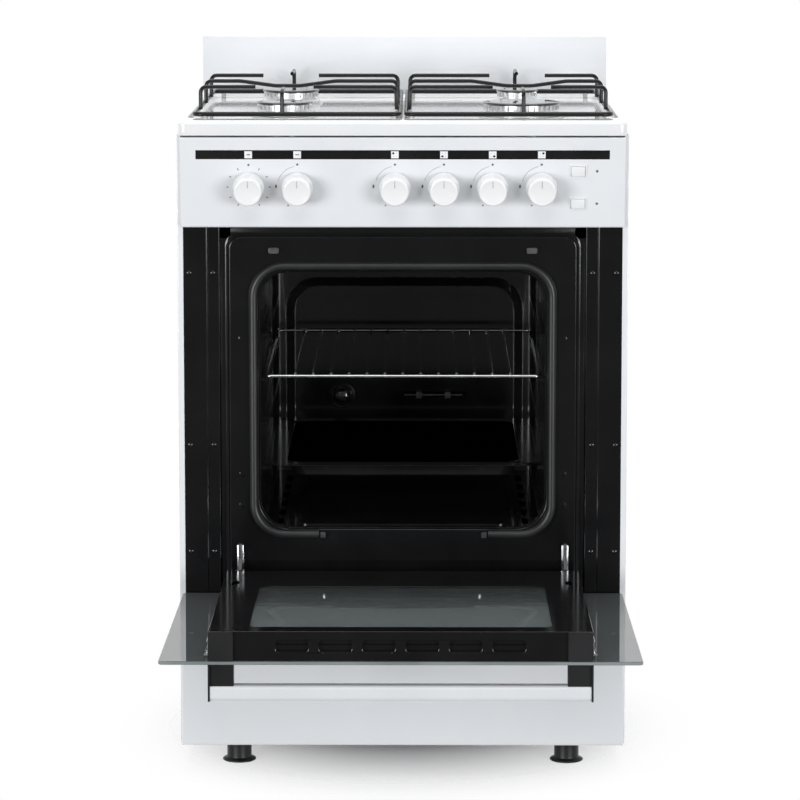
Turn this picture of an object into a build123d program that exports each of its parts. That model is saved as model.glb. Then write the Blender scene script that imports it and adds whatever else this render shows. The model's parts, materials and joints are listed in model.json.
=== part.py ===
from build123d import *
import os
from math import atan2, cos, degrees, radians, sin

# Freestanding four-burner gas range, in millimetres.
# X points right, Y points from the front to the back, Z points up from the floor.
# While modelling, Y = 0 is the front plane of the cabinet; the last lines centre the range on its own box.

# ---------------------------------------------------------------- driving dimensions
HALF_WIDTH = 275
BACK = 487
BODY_BOTTOM = 32
SKIRT_TOP = 213
FASCIA_BOTTOM = 677
FASCIA_TOP = 788
HOB_UNDERSIDE = 790
HOB_TOP = 808
HOB_FRONT = -38
UPSTAND_TOP = 886
SHEET = 1.2
SKIN_HALF = 273
HOB_HALF = 271
UPSTAND_HALF = 269.5
FASCIA_HALF = 269

# oven cavity
MOUTH_HALF = 176
MOUTH_BOTTOM = 302
MOUTH_TOP = 619
MOUTH_RADIUS = 38
CAVITY_BOTTOM = 262
CAVITY_FRONT = 6
CAVITY_BACK = 431
LEVEL_PITCH = 55
RACK_LEVEL = 486.7
TRAY_LEVEL = RACK_LEVEL - 2 * LEVEL_PITCH

# door, in its closed position, and its hinge
PIVOT_Y = -18
PIVOT_Z = 247
OPEN_ANGLE = 88.4
GLASS_HALF = 270.5
GLASS_BOTTOM = 233
GLASS_TOP = 674
GLASS_FACE = -46
GLASS_THICK = 4
LINER_HALF = 215
LINER_BOTTOM = 262
LINER_TOP = 669
LINER_FACE = -9
HINGE_X = 200
PIN_RADIUS = 3
RUNNING_GAP = 0.05

# control fascia, a sheet that leans forward at its top
FASCIA_TOP_Y = -36
FASCIA_BOTTOM_Y = -20
KNOB_Z = 726.8
TIMER_X = -186.3
OVEN_KNOB_X = -127.2
HOB_KNOB_X = {"rear_left": -9.3, "front_left": 49.9, "front_right": 108.7, "rear_right": 167.9}
BUTTON_X = 212
BUTTON_Z = {"lamp": 746.4, "ignition": 706.6}

# burners: place and cap radius
BURNER_X = 147
FRONT_ROW = 97
REAR_ROW = 329
BURNERS = {
    "front_left": (-BURNER_X, FRONT_ROW, 35),
    "rear_left": (-BURNER_X, REAR_ROW, 36.5),
    "front_right": (BURNER_X, FRONT_ROW, 48.5),
    "rear_right": (BURNER_X, REAR_ROW, 27),
}
RECESS_DEPTH = 5
RECESS_Z = HOB_TOP - RECESS_DEPTH
CAP_OVERHANG = 4
CUP_FLANGE = 9

FOOT_X = 205
FOOT_FRONT = 45
FOOT_BACK = 442
DRAWER_BACK = 430

# gas connection through the back
INLET_X = 205
INLET_Z = 740
INLET_RADIUS = 10.48
INLET_END = BACK + 18


# ---------------------------------------------------------------- small shape helpers
def block(x0, x1, y0, y1, z0, z1):
    """A box between two corners."""
    size = Box(abs(x1 - x0), abs(y1 - y0), abs(z1 - z0))
    return Pos((x0 + x1) / 2, (y0 + y1) / 2, (z0 + z1) / 2) * size


def slab(x0, x1, y0, y1, z0, z1, radius, axis=Axis.Y):
    """A box with its edges along one axis rounded."""
    plain = block(x0, x1, y0, y1, z0, z1)
    return fillet(plain.edges().filter_by(axis), radius)


def post(x, y, z0, z1, radius):
    """An upright cylinder."""
    return Pos(x, y, (z0 + z1) / 2) * Cylinder(radius, z1 - z0)


def bar_x(x0, x1, y, z, radius):
    """A cylinder along X."""
    return Pos((x0 + x1) / 2, y, z) * Rot(0, 90, 0) * Cylinder(radius, x1 - x0)


def bar_y(x, y0, y1, z, radius):
    """A cylinder along Y."""
    return Pos(x, (y0 + y1) / 2, z) * Rot(90, 0, 0) * Cylinder(radius, y1 - y0)


def wire(points, radius, bend, close=False):
    """Round wire along a line through the points, with rounded corners."""
    line = FilletPolyline(*points, radius=bend, close=close)
    section = Plane(origin=line @ 0, z_dir=line % 0) * Circle(radius)
    return sweep(section, path=line)


def both(shape):
    """The shape and its mirror image across the middle of the range."""
    return [shape, mirror(shape, about=Plane.YZ)]


def fuse(shapes):
    """One shape from several that meet."""
    whole = shapes[0]
    for shape in shapes[1:]:
        whole = whole + shape
    return whole


def cut(shape, tools):
    """The shape with every tool taken out of it."""
    for tool in tools:
        shape = shape - tool
    return shape


nodes = {}


def node(name, *shapes):
    """Keeps one named piece; identical separate pieces share a name."""
    solids = [solid for shape in shapes for solid in shape.solids()]
    nodes[name] = Compound(children=solids) if len(solids) > 1 else solids[0]


# ---------------------------------------------------------------- cabinet
def side_panel():
    """Right side panel: one sheet folded at the front, back and bottom."""
    inside = HALF_WIDTH - SHEET
    skin = block(inside, HALF_WIDTH, 0, BACK, BODY_BOTTOM, FASCIA_TOP)
    front = block(HALF_WIDTH - 7, HALF_WIDTH, 0, SHEET, BODY_BOTTOM, FASCIA_TOP)
    rear = block(HALF_WIDTH - 20, HALF_WIDTH, BACK - SHEET, BACK, BODY_BOTTOM, FASCIA_TOP)
    bottom = block(HALF_WIDTH - 20, HALF_WIDTH, 0, BACK, BODY_BOTTOM, BODY_BOTTOM + SHEET)
    panel = fuse([skin, front, rear, bottom])
    return fillet(panel.edges().filter_by(Axis.Z).sort_by_distance((HALF_WIDTH, 0, 400))[0], 1)


def base_pan():
    """Floor of the cabinet, a shallow tray."""
    low = BODY_BOTTOM + SHEET
    edge = HALF_WIDTH - SHEET - 0.1
    outer = block(-edge, edge, SHEET + 0.2, BACK - SHEET - 0.2, low, low + 15)
    inner = block(-edge + SHEET, edge - SHEET, 2 * SHEET + 0.2, BACK - 2 * SHEET - 0.2, low + SHEET, low + 16)
    return outer - inner


def rear_panel():
    """Back cover with three rows of ventilation slots and a hole for the gas inlet."""
    edge = HALF_WIDTH - 20.2
    low = BODY_BOTTOM + SHEET + 0.2
    cover = block(-edge, edge, BACK - SHEET, BACK, low, FASCIA_TOP)
    slots = []
    for row in range(3):
        for column in range(-4, 5):
            x = column * 44
            z = 600 + row * 40
            slots.append(slab(x - 15, x + 15, BACK - 5, BACK + 5, z - 3, z + 3, 2.9))
    return cut(cover, slots + [bar_y(INLET_X, BACK - 5, BACK + 5, INLET_Z, 12)])


def column():
    """Right front column: two flats with a crease between them and a return beside the oven front."""
    flat = block(224, 268, 0, SHEET, SKIRT_TOP, FASCIA_BOTTOM)
    turn = block(224, 224 + SHEET, 0, 14, SKIRT_TOP, FASCIA_BOTTOM)
    crease = block(238, 239.5, -1, 0.6, SKIRT_TOP - 1, FASCIA_BOTTOM + 1)
    return fuse([flat, turn]) - crease


def oven_front():
    """Front plate round the oven mouth: a raised face inside a lower frame, with hinge slots."""
    frame_y = 4
    back = frame_y + SHEET
    face_top = 664
    face = block(-213, 213, 0, back, SKIRT_TOP, face_top)
    face = fillet(face.edges().filter_by(Axis.Y).group_by(Axis.Z)[-1], 14)
    face = chamfer(face.faces().sort_by(Axis.Y)[0].edges().group_by(Axis.Z)[-1], 2)
    plate = block(-223.8, 223.8, frame_y, back, SKIRT_TOP, FASCIA_BOTTOM)
    shelf = block(-223.8, 223.8, back, 40, FASCIA_BOTTOM - SHEET, FASCIA_BOTTOM)
    hollow = block(-211, 211, SHEET, back + 1, SKIRT_TOP - 1, face_top - 6)
    mouth = slab(-MOUTH_HALF, MOUTH_HALF, -5, 20, MOUTH_BOTTOM, MOUTH_TOP, MOUTH_RADIUS)
    slots = both(block(HINGE_X - 5, HINGE_X + 5, -5, 20, 246, 286))
    shell = fuse([face, plate]) - hollow + shelf
    return cut(shell, [mouth] + slots)


def door_gasket():
    """Seal round the oven mouth, open at the middle of its bottom run."""
    outer = slab(-187.5, 187.5, -8.5, 0, 291, 630, 42)
    inner = slab(-178, 178, -9, 1, 300.5, 620.5, 33)
    ring = outer - inner
    ring = fillet(ring.faces().sort_by(Axis.Y)[0].edges(), 4)
    return ring - block(-103, 105, -20, 20, 280, 310)


def gasket_clip(x):
    """Small spring clip at an end of the seal."""
    return block(x - 3, x + 3, -7, 0, 292, 299)


# ---------------------------------------------------------------- oven
def oven_liner():
    """Enamelled oven box, open at the front, with a pressed panel in its back wall."""
    edge = MOUTH_HALF + SHEET
    outer = slab(-edge, edge, CAVITY_FRONT, CAVITY_BACK + SHEET, CAVITY_BOTTOM - SHEET, MOUTH_TOP + SHEET, 11)
    inner = slab(-MOUTH_HALF, MOUTH_HALF, CAVITY_FRONT - 1, CAVITY_BACK, CAVITY_BOTTOM, MOUTH_TOP, 10)
    pressed_out = slab(-153, 153, 420, CAVITY_BACK + 8 + SHEET, 318, 553, 28)
    pressed_in = slab(-151.8, 151.8, 419, CAVITY_BACK + 8, 319.2, 551.8, 27)
    return fuse([outer, pressed_out]) - inner - pressed_in


def oven_floor():
    """Loose floor plate over the oven burner: front lip, side legs, flame slots and a pressed field."""
    top = 301.2
    edge = 174
    plate = block(-edge, edge, 8, 425, top - SHEET, top)
    lip = block(-edge, edge, 8, 8 + SHEET, 290, top)
    legs = both(block(162, 162 + SHEET, 8, 425, CAVITY_BOTTOM, top))
    field = slab(-130, 130, 30, 400, top, top + 1.5, 12, Axis.Z)
    slots = []
    for step in range(6):
        y = 60 + step * 62
        slots += both(slab(148, 156, y - 22, y + 22, 290, 310, 3.9, Axis.Z))
    return cut(fuse([plate, lip, *legs, field]), slots + [post(0, 50, 290, 310, 4)])


def rack_guide():
    """Right side guide: a plate with five horizontal ribs that carry the rack and the tray."""
    wall = MOUTH_HALF - 0.1
    plate = block(wall - SHEET, wall, 30, 410, 312, 560)
    ribs = []
    for level in range(-3, 2):
        top = RACK_LEVEL + level * LEVEL_PITCH
        ribs.append(slab(166, wall, 22, 412, top - 4, top, 1.5))
    return fuse([plate, *ribs])


def oven_burner():
    """Straight burner tube under the floor plate, with two rows of ports and a closed front end."""
    tube = bar_y(0, 60, 400, 279, 11) - bar_y(0, 63, 401, 279, 9.5)
    ports = []
    for step in range(12):
        y = 90 + step * 25
        ports.append(bar_x(-15, 15, y, 279, 1.5))
    stands = [block(-14, 14, y, y + 4, CAVITY_BOTTOM, 268.5) for y in (80, 360)]
    return fuse([cut(tube, ports), *stands])


def wire_rack():
    """Oven rack: a round wire frame with thirteen rods and a rear cross wire."""
    height = RACK_LEVEL + 0.3 + 2.5
    frame = wire(
        [(168, 17, height), (168, 398, height), (-168, 398, height), (-168, 17, height)], 2.5, 14, close=True
    )
    rods = [bar_y(step * 22, 15.5, 399.5, height + 1.5, 1.5) for step in range(-6, 7)]
    cross = bar_x(-167, 167, 150, height, 2)
    return fuse([frame, cross, *rods])


def baking_tray():
    """Baking tray: flat rim and a well with sloping walls."""
    rim_z = TRAY_LEVEL + 0.3
    rim = slab(-168, 168, 20, 395, rim_z, rim_z + SHEET, 16, Axis.Z)
    top = Plane((0, 207.5, rim_z + SHEET), z_dir=(0, 0, -1))
    outer = extrude(top * RectangleRounded(286, 327, 20), 21, taper=14)
    inner = extrude(top * RectangleRounded(283.6, 324.6, 19), 19.8, taper=14)
    return fuse([rim, outer]) - inner


def oven_lamp():
    """Lamp dome and the ring that holds it to the back wall."""
    wall = CAVITY_BACK + 8
    dome = bar_y(-84, wall - 19, wall - 1, 403, 14)
    dome = fillet(dome.edges().group_by(Axis.Y)[0], 6)
    ring = bar_y(-84, wall - 6, wall, 403, 17.5) - bar_y(-84, wall - 30, wall + 1, 403, 14.05)
    return dome, ring


def thermostat_phial():
    """Temperature sensor rod in its two clips."""
    wall = CAVITY_BACK + 8
    rod = bar_x(0, 78, wall - 12, 405, 2.5)
    clips = [block(x - 4, x + 4, wall - 16, wall, 401, 409) for x in (20, 58)]
    return fuse([rod, *clips])


def insulation():
    """Mineral wool wrap round the oven box."""
    outer = block(-196, 196, 36, 460, 240, 640)
    edge = MOUTH_HALF + 1.5
    inner = block(-edge, edge, 30, CAVITY_BACK + 10, CAVITY_BOTTOM - 1.5, MOUTH_TOP + 1.5)
    return outer - inner


# ---------------------------------------------------------------- hob
def upper_skin(inset):
    """Outside of the hob pressing, moved inwards by a sheet thickness when inset is given."""
    top = HOB_TOP - inset
    edge = HOB_HALF - inset
    body = block(-edge, edge, HOB_FRONT + inset, BACK - inset, HOB_UNDERSIDE - (1 if inset else 0), top)
    body = fillet(body.edges().filter_by(Axis.Z), 9 - inset)
    return fillet(body.faces().sort_by(Axis.Z)[-1].edges(), 5 - inset)


def hob_top():
    """Pressed hob: rolled rim, sunk field, four burner holes and four electrode holes."""
    grow = SHEET
    field = slab(-262, 262, 2, 450, RECESS_Z, HOB_TOP + 5, 20, Axis.Z)
    edge = 262 + grow
    field_under = slab(-edge, edge, 2 - grow, 450 + grow, RECESS_Z - grow, HOB_TOP + 5, 20 + grow, Axis.Z)
    skin = upper_skin(0) - field - (upper_skin(SHEET) - field_under)
    holes = []
    for x, y, cap in BURNERS.values():
        holes.append(post(x, y, 780, 820, cap - CAP_OVERHANG + 2))
        ex, ey = electrode_place(x, y, cap)
        holes.append(post(ex, ey, 780, 820, 3.3))
    return cut(skin, holes)


def upstand():
    """Rear upstand: a folded sheet box standing on the back edge of the hob, open behind."""
    edge = UPSTAND_HALF
    outer = block(-edge, edge, 462, BACK, HOB_TOP, UPSTAND_TOP)
    outer = fillet(outer.edges().filter_by(Axis.X).sort_by(Axis.Z)[-2:].sort_by(Axis.Y)[0], 3)
    inner = block(-edge + SHEET, edge - SHEET, 462 + SHEET, BACK + 1, HOB_TOP - 1, UPSTAND_TOP - SHEET)
    return outer - inner


def electrode_place(x, y, cap):
    """Where a burner's spark electrode stands: just outside its cup, towards the back and the middle."""
    reach = cap - CAP_OVERHANG + CUP_FLANGE + 4.5
    side = 1 if x < 0 else -1
    return x + side * reach * sin(radians(25)), y + reach * cos(radians(25))


def burner_cup(x, y, cap):
    """Mixing cup: flange on the hob, a bowl under it and a gas throat in the bottom."""
    throat = cap - CAP_OVERHANG
    bowl = post(x, y, 770, RECESS_Z, throat + 1.5)
    flange = post(x, y, RECESS_Z, RECESS_Z + 1.5, throat + CUP_FLANGE)
    inner = post(x, y, 772, RECESS_Z + 5, throat)
    return bowl + flange - inner - post(x, y, 760, 780, 5)


def burner_crown(x, y, cap):
    """Aluminium flame crown: a ring with a stepped foot, a closed centre and flame slots round its top."""
    radius = cap - CAP_OVERHANG
    foot = RECESS_Z + 1.5
    ring = post(x, y, foot, foot + 4, radius + 5) + post(x, y, foot + 4, foot + 15, radius)
    ring = ring - post(x, y, foot - 1, foot + 12, radius - 5)
    count = round(radius * 0.8)
    slots = []
    for step in range(count):
        slot = Pos(x, y, foot + 13) * Rot(0, 0, step * 360 / count) * Pos(radius - 1, 0, 0) * Box(9, 1.8, 5)
        slots.append(slot)
    return cut(ring, slots)


def burner_cap(x, y, cap):
    """Enamelled cap resting on the crown."""
    low = RECESS_Z + 16.5
    disc = post(x, y, low, low + 5.5, cap)
    return fillet(disc.faces().sort_by(Axis.Z)[-1].edges(), 3.5)


def injector(x, y, cap):
    """Brass jet under the cup: a hexagon with a drilled nipple."""
    low = Plane((x, y, 756))
    body = extrude(low * RegularPolygon(7, 6), 10) + post(x, y, 766, 771, 4)
    return body - post(x, y, 755, 772, 1)


def spark_electrode(x, y, cap):
    """Ceramic spark electrode with its metal tip leaning towards the flame ring."""
    ex, ey = electrode_place(x, y, cap)
    return post(ex, ey, 782, 821, 3) + post(ex, ey, 821, 826, 1.2)


def gas_pipe(knob_x, x, y, height):
    """Pipe from a hob tap to its injector."""
    points = [(knob_x, 41, height), (knob_x, 60, height), (x, y - 24, height), (x, y, height), (x, y, 756)]
    return wire(points, 4, 7)


def pan_support():
    """Left pan support of welded wire: base ring, four corner runs and six fingers over two burners."""
    low = 812
    high = 840
    outer_x = -254
    inner_x = -4.3
    front = 15
    back = 442
    leg_out = -251
    leg_in = -8
    reach = 36
    ring = wire(
        [(inner_x, front, low), (inner_x, back, low), (outer_x, back, low), (outer_x, front, low)],
        3, 10, close=True,
    )
    pieces = [ring]
    for row in (FRONT_ROW, REAR_ROW):
        for leg, tip in ((leg_out, -BURNER_X - reach), (leg_in, -BURNER_X + reach)):
            pieces.append(wire([(leg, row, low), (leg, row, high), (tip, row, high)], 2.5, 7))
    middle = (FRONT_ROW + REAR_ROW) / 2
    dip = high - 6
    pieces.append(
        wire(
            [
                (leg_out, middle, low), (leg_out, middle, high), (-BURNER_X - 60, middle, high),
                (-BURNER_X - 16, middle, dip), (-BURNER_X + 16, middle, dip), (-BURNER_X + 60, middle, high),
                (leg_in, middle, high), (leg_in, middle, low),
            ],
            2.5, [7, 60, 60, 60, 60, 7],
        )
    )
    pieces.append(wire([(-BURNER_X, front, low), (-BURNER_X, front, high), (-BURNER_X, 61, high)], 2.5, 7))
    pieces.append(wire([(-BURNER_X, back, low), (-BURNER_X, back, high), (-BURNER_X, 365, high)], 2.5, 7))
    return fuse(pieces)


def support_buffers():
    """Four rubber buffers under the left pan support."""
    feet = []
    for x in (-241, -11):
        for y in (15, 442):
            feet.append(post(x, y, RECESS_Z, 809.6, 4) - bar_x(x - 9, x + 9, y, 812, 3))
    return feet


# ---------------------------------------------------------------- control fascia
LEAN = degrees(atan2(FASCIA_BOTTOM_Y - FASCIA_TOP_Y, FASCIA_TOP - FASCIA_BOTTOM))


def fascia_y(z):
    """Depth of the fascia's face at a height."""
    share = (z - FASCIA_BOTTOM) / (FASCIA_TOP - FASCIA_BOTTOM)
    return FASCIA_BOTTOM_Y + share * (FASCIA_TOP_Y - FASCIA_BOTTOM_Y)


def on_fascia(x, z):
    """Location on the fascia's face: local Z points out of the face, local X right and local Y up the face."""
    out = (0, -cos(radians(LEAN)), -sin(radians(LEAN)))
    return Plane(origin=(x, fascia_y(z), z), x_dir=(1, 0, 0), z_dir=out).location


def stub(x, z, low, high, radius):
    """A cylinder square to the fascia, between two distances from its face."""
    return on_fascia(x, z) * Pos(0, 0, (low + high) / 2) * Cylinder(radius, high - low)


def brick(x, z, width, height, low, high):
    """A box square to the fascia, between two distances from its face."""
    return on_fascia(x, z) * Pos(0, 0, (low + high) / 2) * Box(width, height, high - low)


def fascia():
    """Control fascia: a folded sheet box, open behind, with holes for six shafts and two buttons."""
    edge = FASCIA_HALF
    back_y = -0.1
    thick = SHEET
    outline = Polyline(
        (FASCIA_BOTTOM_Y, FASCIA_BOTTOM), (FASCIA_TOP_Y, FASCIA_TOP),
        (back_y, FASCIA_TOP), (back_y, FASCIA_BOTTOM), close=True,
    )
    outer = Pos(-edge, 0, 0) * extrude(Plane.YZ * make_face(outline), 2 * edge)
    outer = fillet(outer.edges().filter_by(Axis.X).sort_by(Axis.Y)[:2], 2.5)
    inner_line = Polyline(
        (FASCIA_BOTTOM_Y + thick + 0.3, FASCIA_BOTTOM + thick), (FASCIA_TOP_Y + thick, FASCIA_TOP - thick),
        (back_y + 1, FASCIA_TOP - thick), (back_y + 1, FASCIA_BOTTOM + thick), close=True,
    )
    inner = Pos(-edge + thick, 0, 0) * extrude(Plane.YZ * make_face(inner_line), 2 * (edge - thick))
    holes = [stub(x, KNOB_Z, -20, 20, 6) for x in (TIMER_X, OVEN_KNOB_X, *HOB_KNOB_X.values())]
    holes += [brick(BUTTON_X, z, 17.6, 12.6, -20, 20) for z in BUTTON_Z.values()]
    return cut(outer - inner, holes)


def knob(x, bore):
    """Round knob with a wide skirt, a tapered grip and an engraved line at the top of its face."""
    skirt = stub(x, KNOB_Z, 3.6, 6.6, 18.8)
    grip = on_fascia(x, KNOB_Z) * Pos(0, 0, 6.6 + 23.4 / 2) * Cone(17.8, 17, 23.4)
    grip = fillet(grip.faces().sort_by(Axis.Y)[0].edges(), 1.5)
    line = on_fascia(x, KNOB_Z) * Pos(0, 12.5, 30) * Box(1.4, 9, 1)
    hollow = stub(x, KNOB_Z, 3, 24, bore)
    return fuse([skirt, grip]) - line - hollow


def gas_tap(x):
    """Tap body behind the fascia with the bore its stem slides in."""
    return stub(x, KNOB_Z, -46, -12, 11) - stub(x, KNOB_Z, -44, -11, 4 + RUNNING_GAP)


def tap_stem(x):
    """Stem that the knob turns on and pushes in."""
    return stub(x, KNOB_Z, -39, 21, 4)


def minute_timer():
    """Clockwork timer with its shaft."""
    return stub(TIMER_X, KNOB_Z, -40, -2, 20) + stub(TIMER_X, KNOB_Z, -2, 21, 3)


def push_button(z):
    """Rocker-sized push button."""
    cap = brick(BUTTON_X, z, 17, 12, -8, 3.4)
    return fillet(cap.faces().sort_by(Axis.Y)[0].edges(), 0.8)


def button_bezel(z):
    """Thin frame round a push button."""
    return brick(BUTTON_X, z, 21, 16, 0, 1.2) - brick(BUTTON_X, z, 17.6, 12.6, -2, 3)


# ---------------------------------------------------------------- door, modelled closed, turned open at the end
def outer_glass():
    """Smoked outer pane, wider than the door frame behind it."""
    pane = slab(-GLASS_HALF, GLASS_HALF, GLASS_FACE, GLASS_FACE + GLASS_THICK, GLASS_BOTTOM, GLASS_TOP, 5)
    return chamfer(pane.faces().sort_by(Axis.Y)[0].edges(), 0.6)


def door_liner():
    """Pressed inner door: a tray that opens towards the outer pane, with a window hole and a louvred top."""
    front = GLASS_FACE + GLASS_THICK
    outer = block(-LINER_HALF, LINER_HALF, front, LINER_FACE, LINER_BOTTOM, LINER_TOP)
    outer = chamfer(outer.faces().sort_by(Axis.Y)[-1].edges().group_by(Axis.Z)[0], 4)
    wall = SHEET
    edge = LINER_HALF - wall
    inner = block(-edge, edge, front - 1, LINER_FACE - wall, LINER_BOTTOM + wall + 4, LINER_TOP - wall)
    window = slab(-170, 170, -20, 0, 377, 640, 10)
    notches = both(block(HINGE_X - 7, HINGE_X + 7, front - 1, -10.2, LINER_BOTTOM - 1, LINER_BOTTOM + 10))
    slots = both(block(HINGE_X - 4, HINGE_X + 4, -20, 0, 340, 368))
    louvres = []
    for step in range(6):
        x = (step - 2.5) * 48.5
        louvres.append(slab(x - 18.5, x + 18.5, -33, -18.5, LINER_TOP - 3, LINER_TOP + 3, 5, Axis.Z))
    return cut(outer - inner, [window] + notches + slots + louvres)


def top_block():
    """Moulded end block at the right top corner of the door."""
    front = GLASS_FACE + GLASS_THICK
    shape = block(187, 214, front, LINER_FACE, LINER_TOP, LINER_TOP + 4.5)
    return fillet(shape.edges().filter_by(Axis.Z), 1.5)


def hinge_case():
    """Zinc case in the right side of the door: two cheeks, a back strip and the pivot pin."""
    half = 5
    cheeks = [block(x, x + 1.5, -26, -12, 239, 368) for x in (HINGE_X - half, HINGE_X + half - 1.5)]
    strip = block(HINGE_X - half, HINGE_X + half, -26, -24.5, LINER_BOTTOM + 8, 368)
    pin = bar_x(HINGE_X - half - 1, HINGE_X + half + 1, PIVOT_Y, PIVOT_Z, PIN_RADIUS)
    return fuse([*cheeks, strip, pin])


def hinge_arm():
    """Zinc arm fixed in the cabinet: an eye round the pivot pin and a hooked plate through the front slot."""
    outline = Polyline(
        (PIVOT_Y, PIVOT_Z - 7), (2, 249), (24, 249), (24, 281), (16, 284),
        (-6, 284), (-7.5, 266), (PIVOT_Y, PIVOT_Z + 7), close=True,
    )
    plate = Pos(HINGE_X - 2, 0, 0) * extrude(Plane.YZ * make_face(outline), 4)
    eye = bar_x(HINGE_X - 2, HINGE_X + 2, PIVOT_Y, PIVOT_Z, 7)
    return fuse([plate, eye]) - bar_x(HINGE_X - 9, HINGE_X + 9, PIVOT_Y, PIVOT_Z, PIN_RADIUS + RUNNING_GAP)


def hinge_receiver():
    """Zinc channel behind the front slot that holds the arm's hook."""
    outer = block(HINGE_X - 4.5, HINGE_X + 4.5, 5.4, 32, 247, 287)
    return outer - block(HINGE_X - 2.1, HINGE_X + 2.1, 0, 26, 248.5, 285.5)


def side_strip():
    """Bright strip along the right edge of the door frame."""
    web = block(LINER_HALF, LINER_HALF + 1.2, -38, -24, 285, 660)
    flange = block(LINER_HALF, LINER_HALF + 5, -38, -36.8, 285, 660)
    return web + flange


def handle_bar():
    """Flat white grip that runs across the door."""
    bar = block(-213.5, 213.5, -90, -72, 642, 662)
    return fillet(bar.edges().filter_by(Axis.X), 5)


def handle_bracket():
    """Black bracket at the right end of the grip, with the thin plate that covers the grip's end."""
    arm = block(187, 213.5, -77, GLASS_FACE, 644, 660)
    grip = fillet(block(180, 213.5, -90, -72, 642, 662).edges().filter_by(Axis.X), 5)
    plate = block(213.5, 215.7, -90, GLASS_FACE, 641, 663)
    return fuse([arm - grip, plate])


# ---------------------------------------------------------------- storage drawer and feet
def drawer_front():
    """White storage drawer front with folded edges, open behind."""
    edge = SKIN_HALF
    low = BODY_BOTTOM + 1
    high = SKIRT_TOP - 1
    outer = block(-edge, edge, -18, -0.1, low, high)
    outer = fillet(outer.faces().sort_by(Axis.Y)[0].edges(), 3)
    inner = block(-edge + SHEET, edge - SHEET, -18 + SHEET, 0, low + SHEET, high - SHEET)
    return outer - inner


def drawer_box():
    """Open-topped drawer behind the front, with the two bolts' tabs that join it to the front."""
    outer = block(-245, 245, 1, DRAWER_BACK, 56, 190)
    inner = block(-245 + SHEET, 245 - SHEET, 1 + SHEET, DRAWER_BACK - SHEET, 56 + SHEET, 191)
    tabs = both(block(180, 200, -16.8, 1, 110, 130))
    return fuse([outer - inner, *tabs])


def drawer_runner():
    """Right drawer runner, a channel on the side of the cabinet."""
    outer = block(246, 268, 12, 450, 100, 122)
    return outer - block(247.2, 266.8, 10, 452, 101.2, 123)


def foot(x, y):
    """Levelling foot: wide pad and round column."""
    column_part = post(x, y, 2, BODY_BOTTOM + SHEET, 15.3)
    pad = post(x, y, 0, 2.4, 20.8)
    return chamfer(pad.faces().sort_by(Axis.Z)[-1].edges(), 1) + column_part


# ---------------------------------------------------------------- gas and electrical parts inside
def gas_inlet():
    """Gas connection through the back: half-inch thread stub, flange and the pipe towards the rail."""
    stem = bar_y(INLET_X, BACK - 20, INLET_END, INLET_Z, INLET_RADIUS)
    stem = stem + bar_y(INLET_X, BACK, BACK + 3, INLET_Z, 15)
    return stem - bar_y(INLET_X, BACK - 30, INLET_END + 1, INLET_Z, 7)


def gas_rail():
    """Square rail that feeds the taps, with its feed pipe to the inlet."""
    rail = block(-140, 220, 22.5, 38.5, 728, 744)
    feed = wire([(INLET_X, 38, 736), (INLET_X, 200, 736), (INLET_X, 466, INLET_Z)], 6.5, 12)
    return rail + feed


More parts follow.
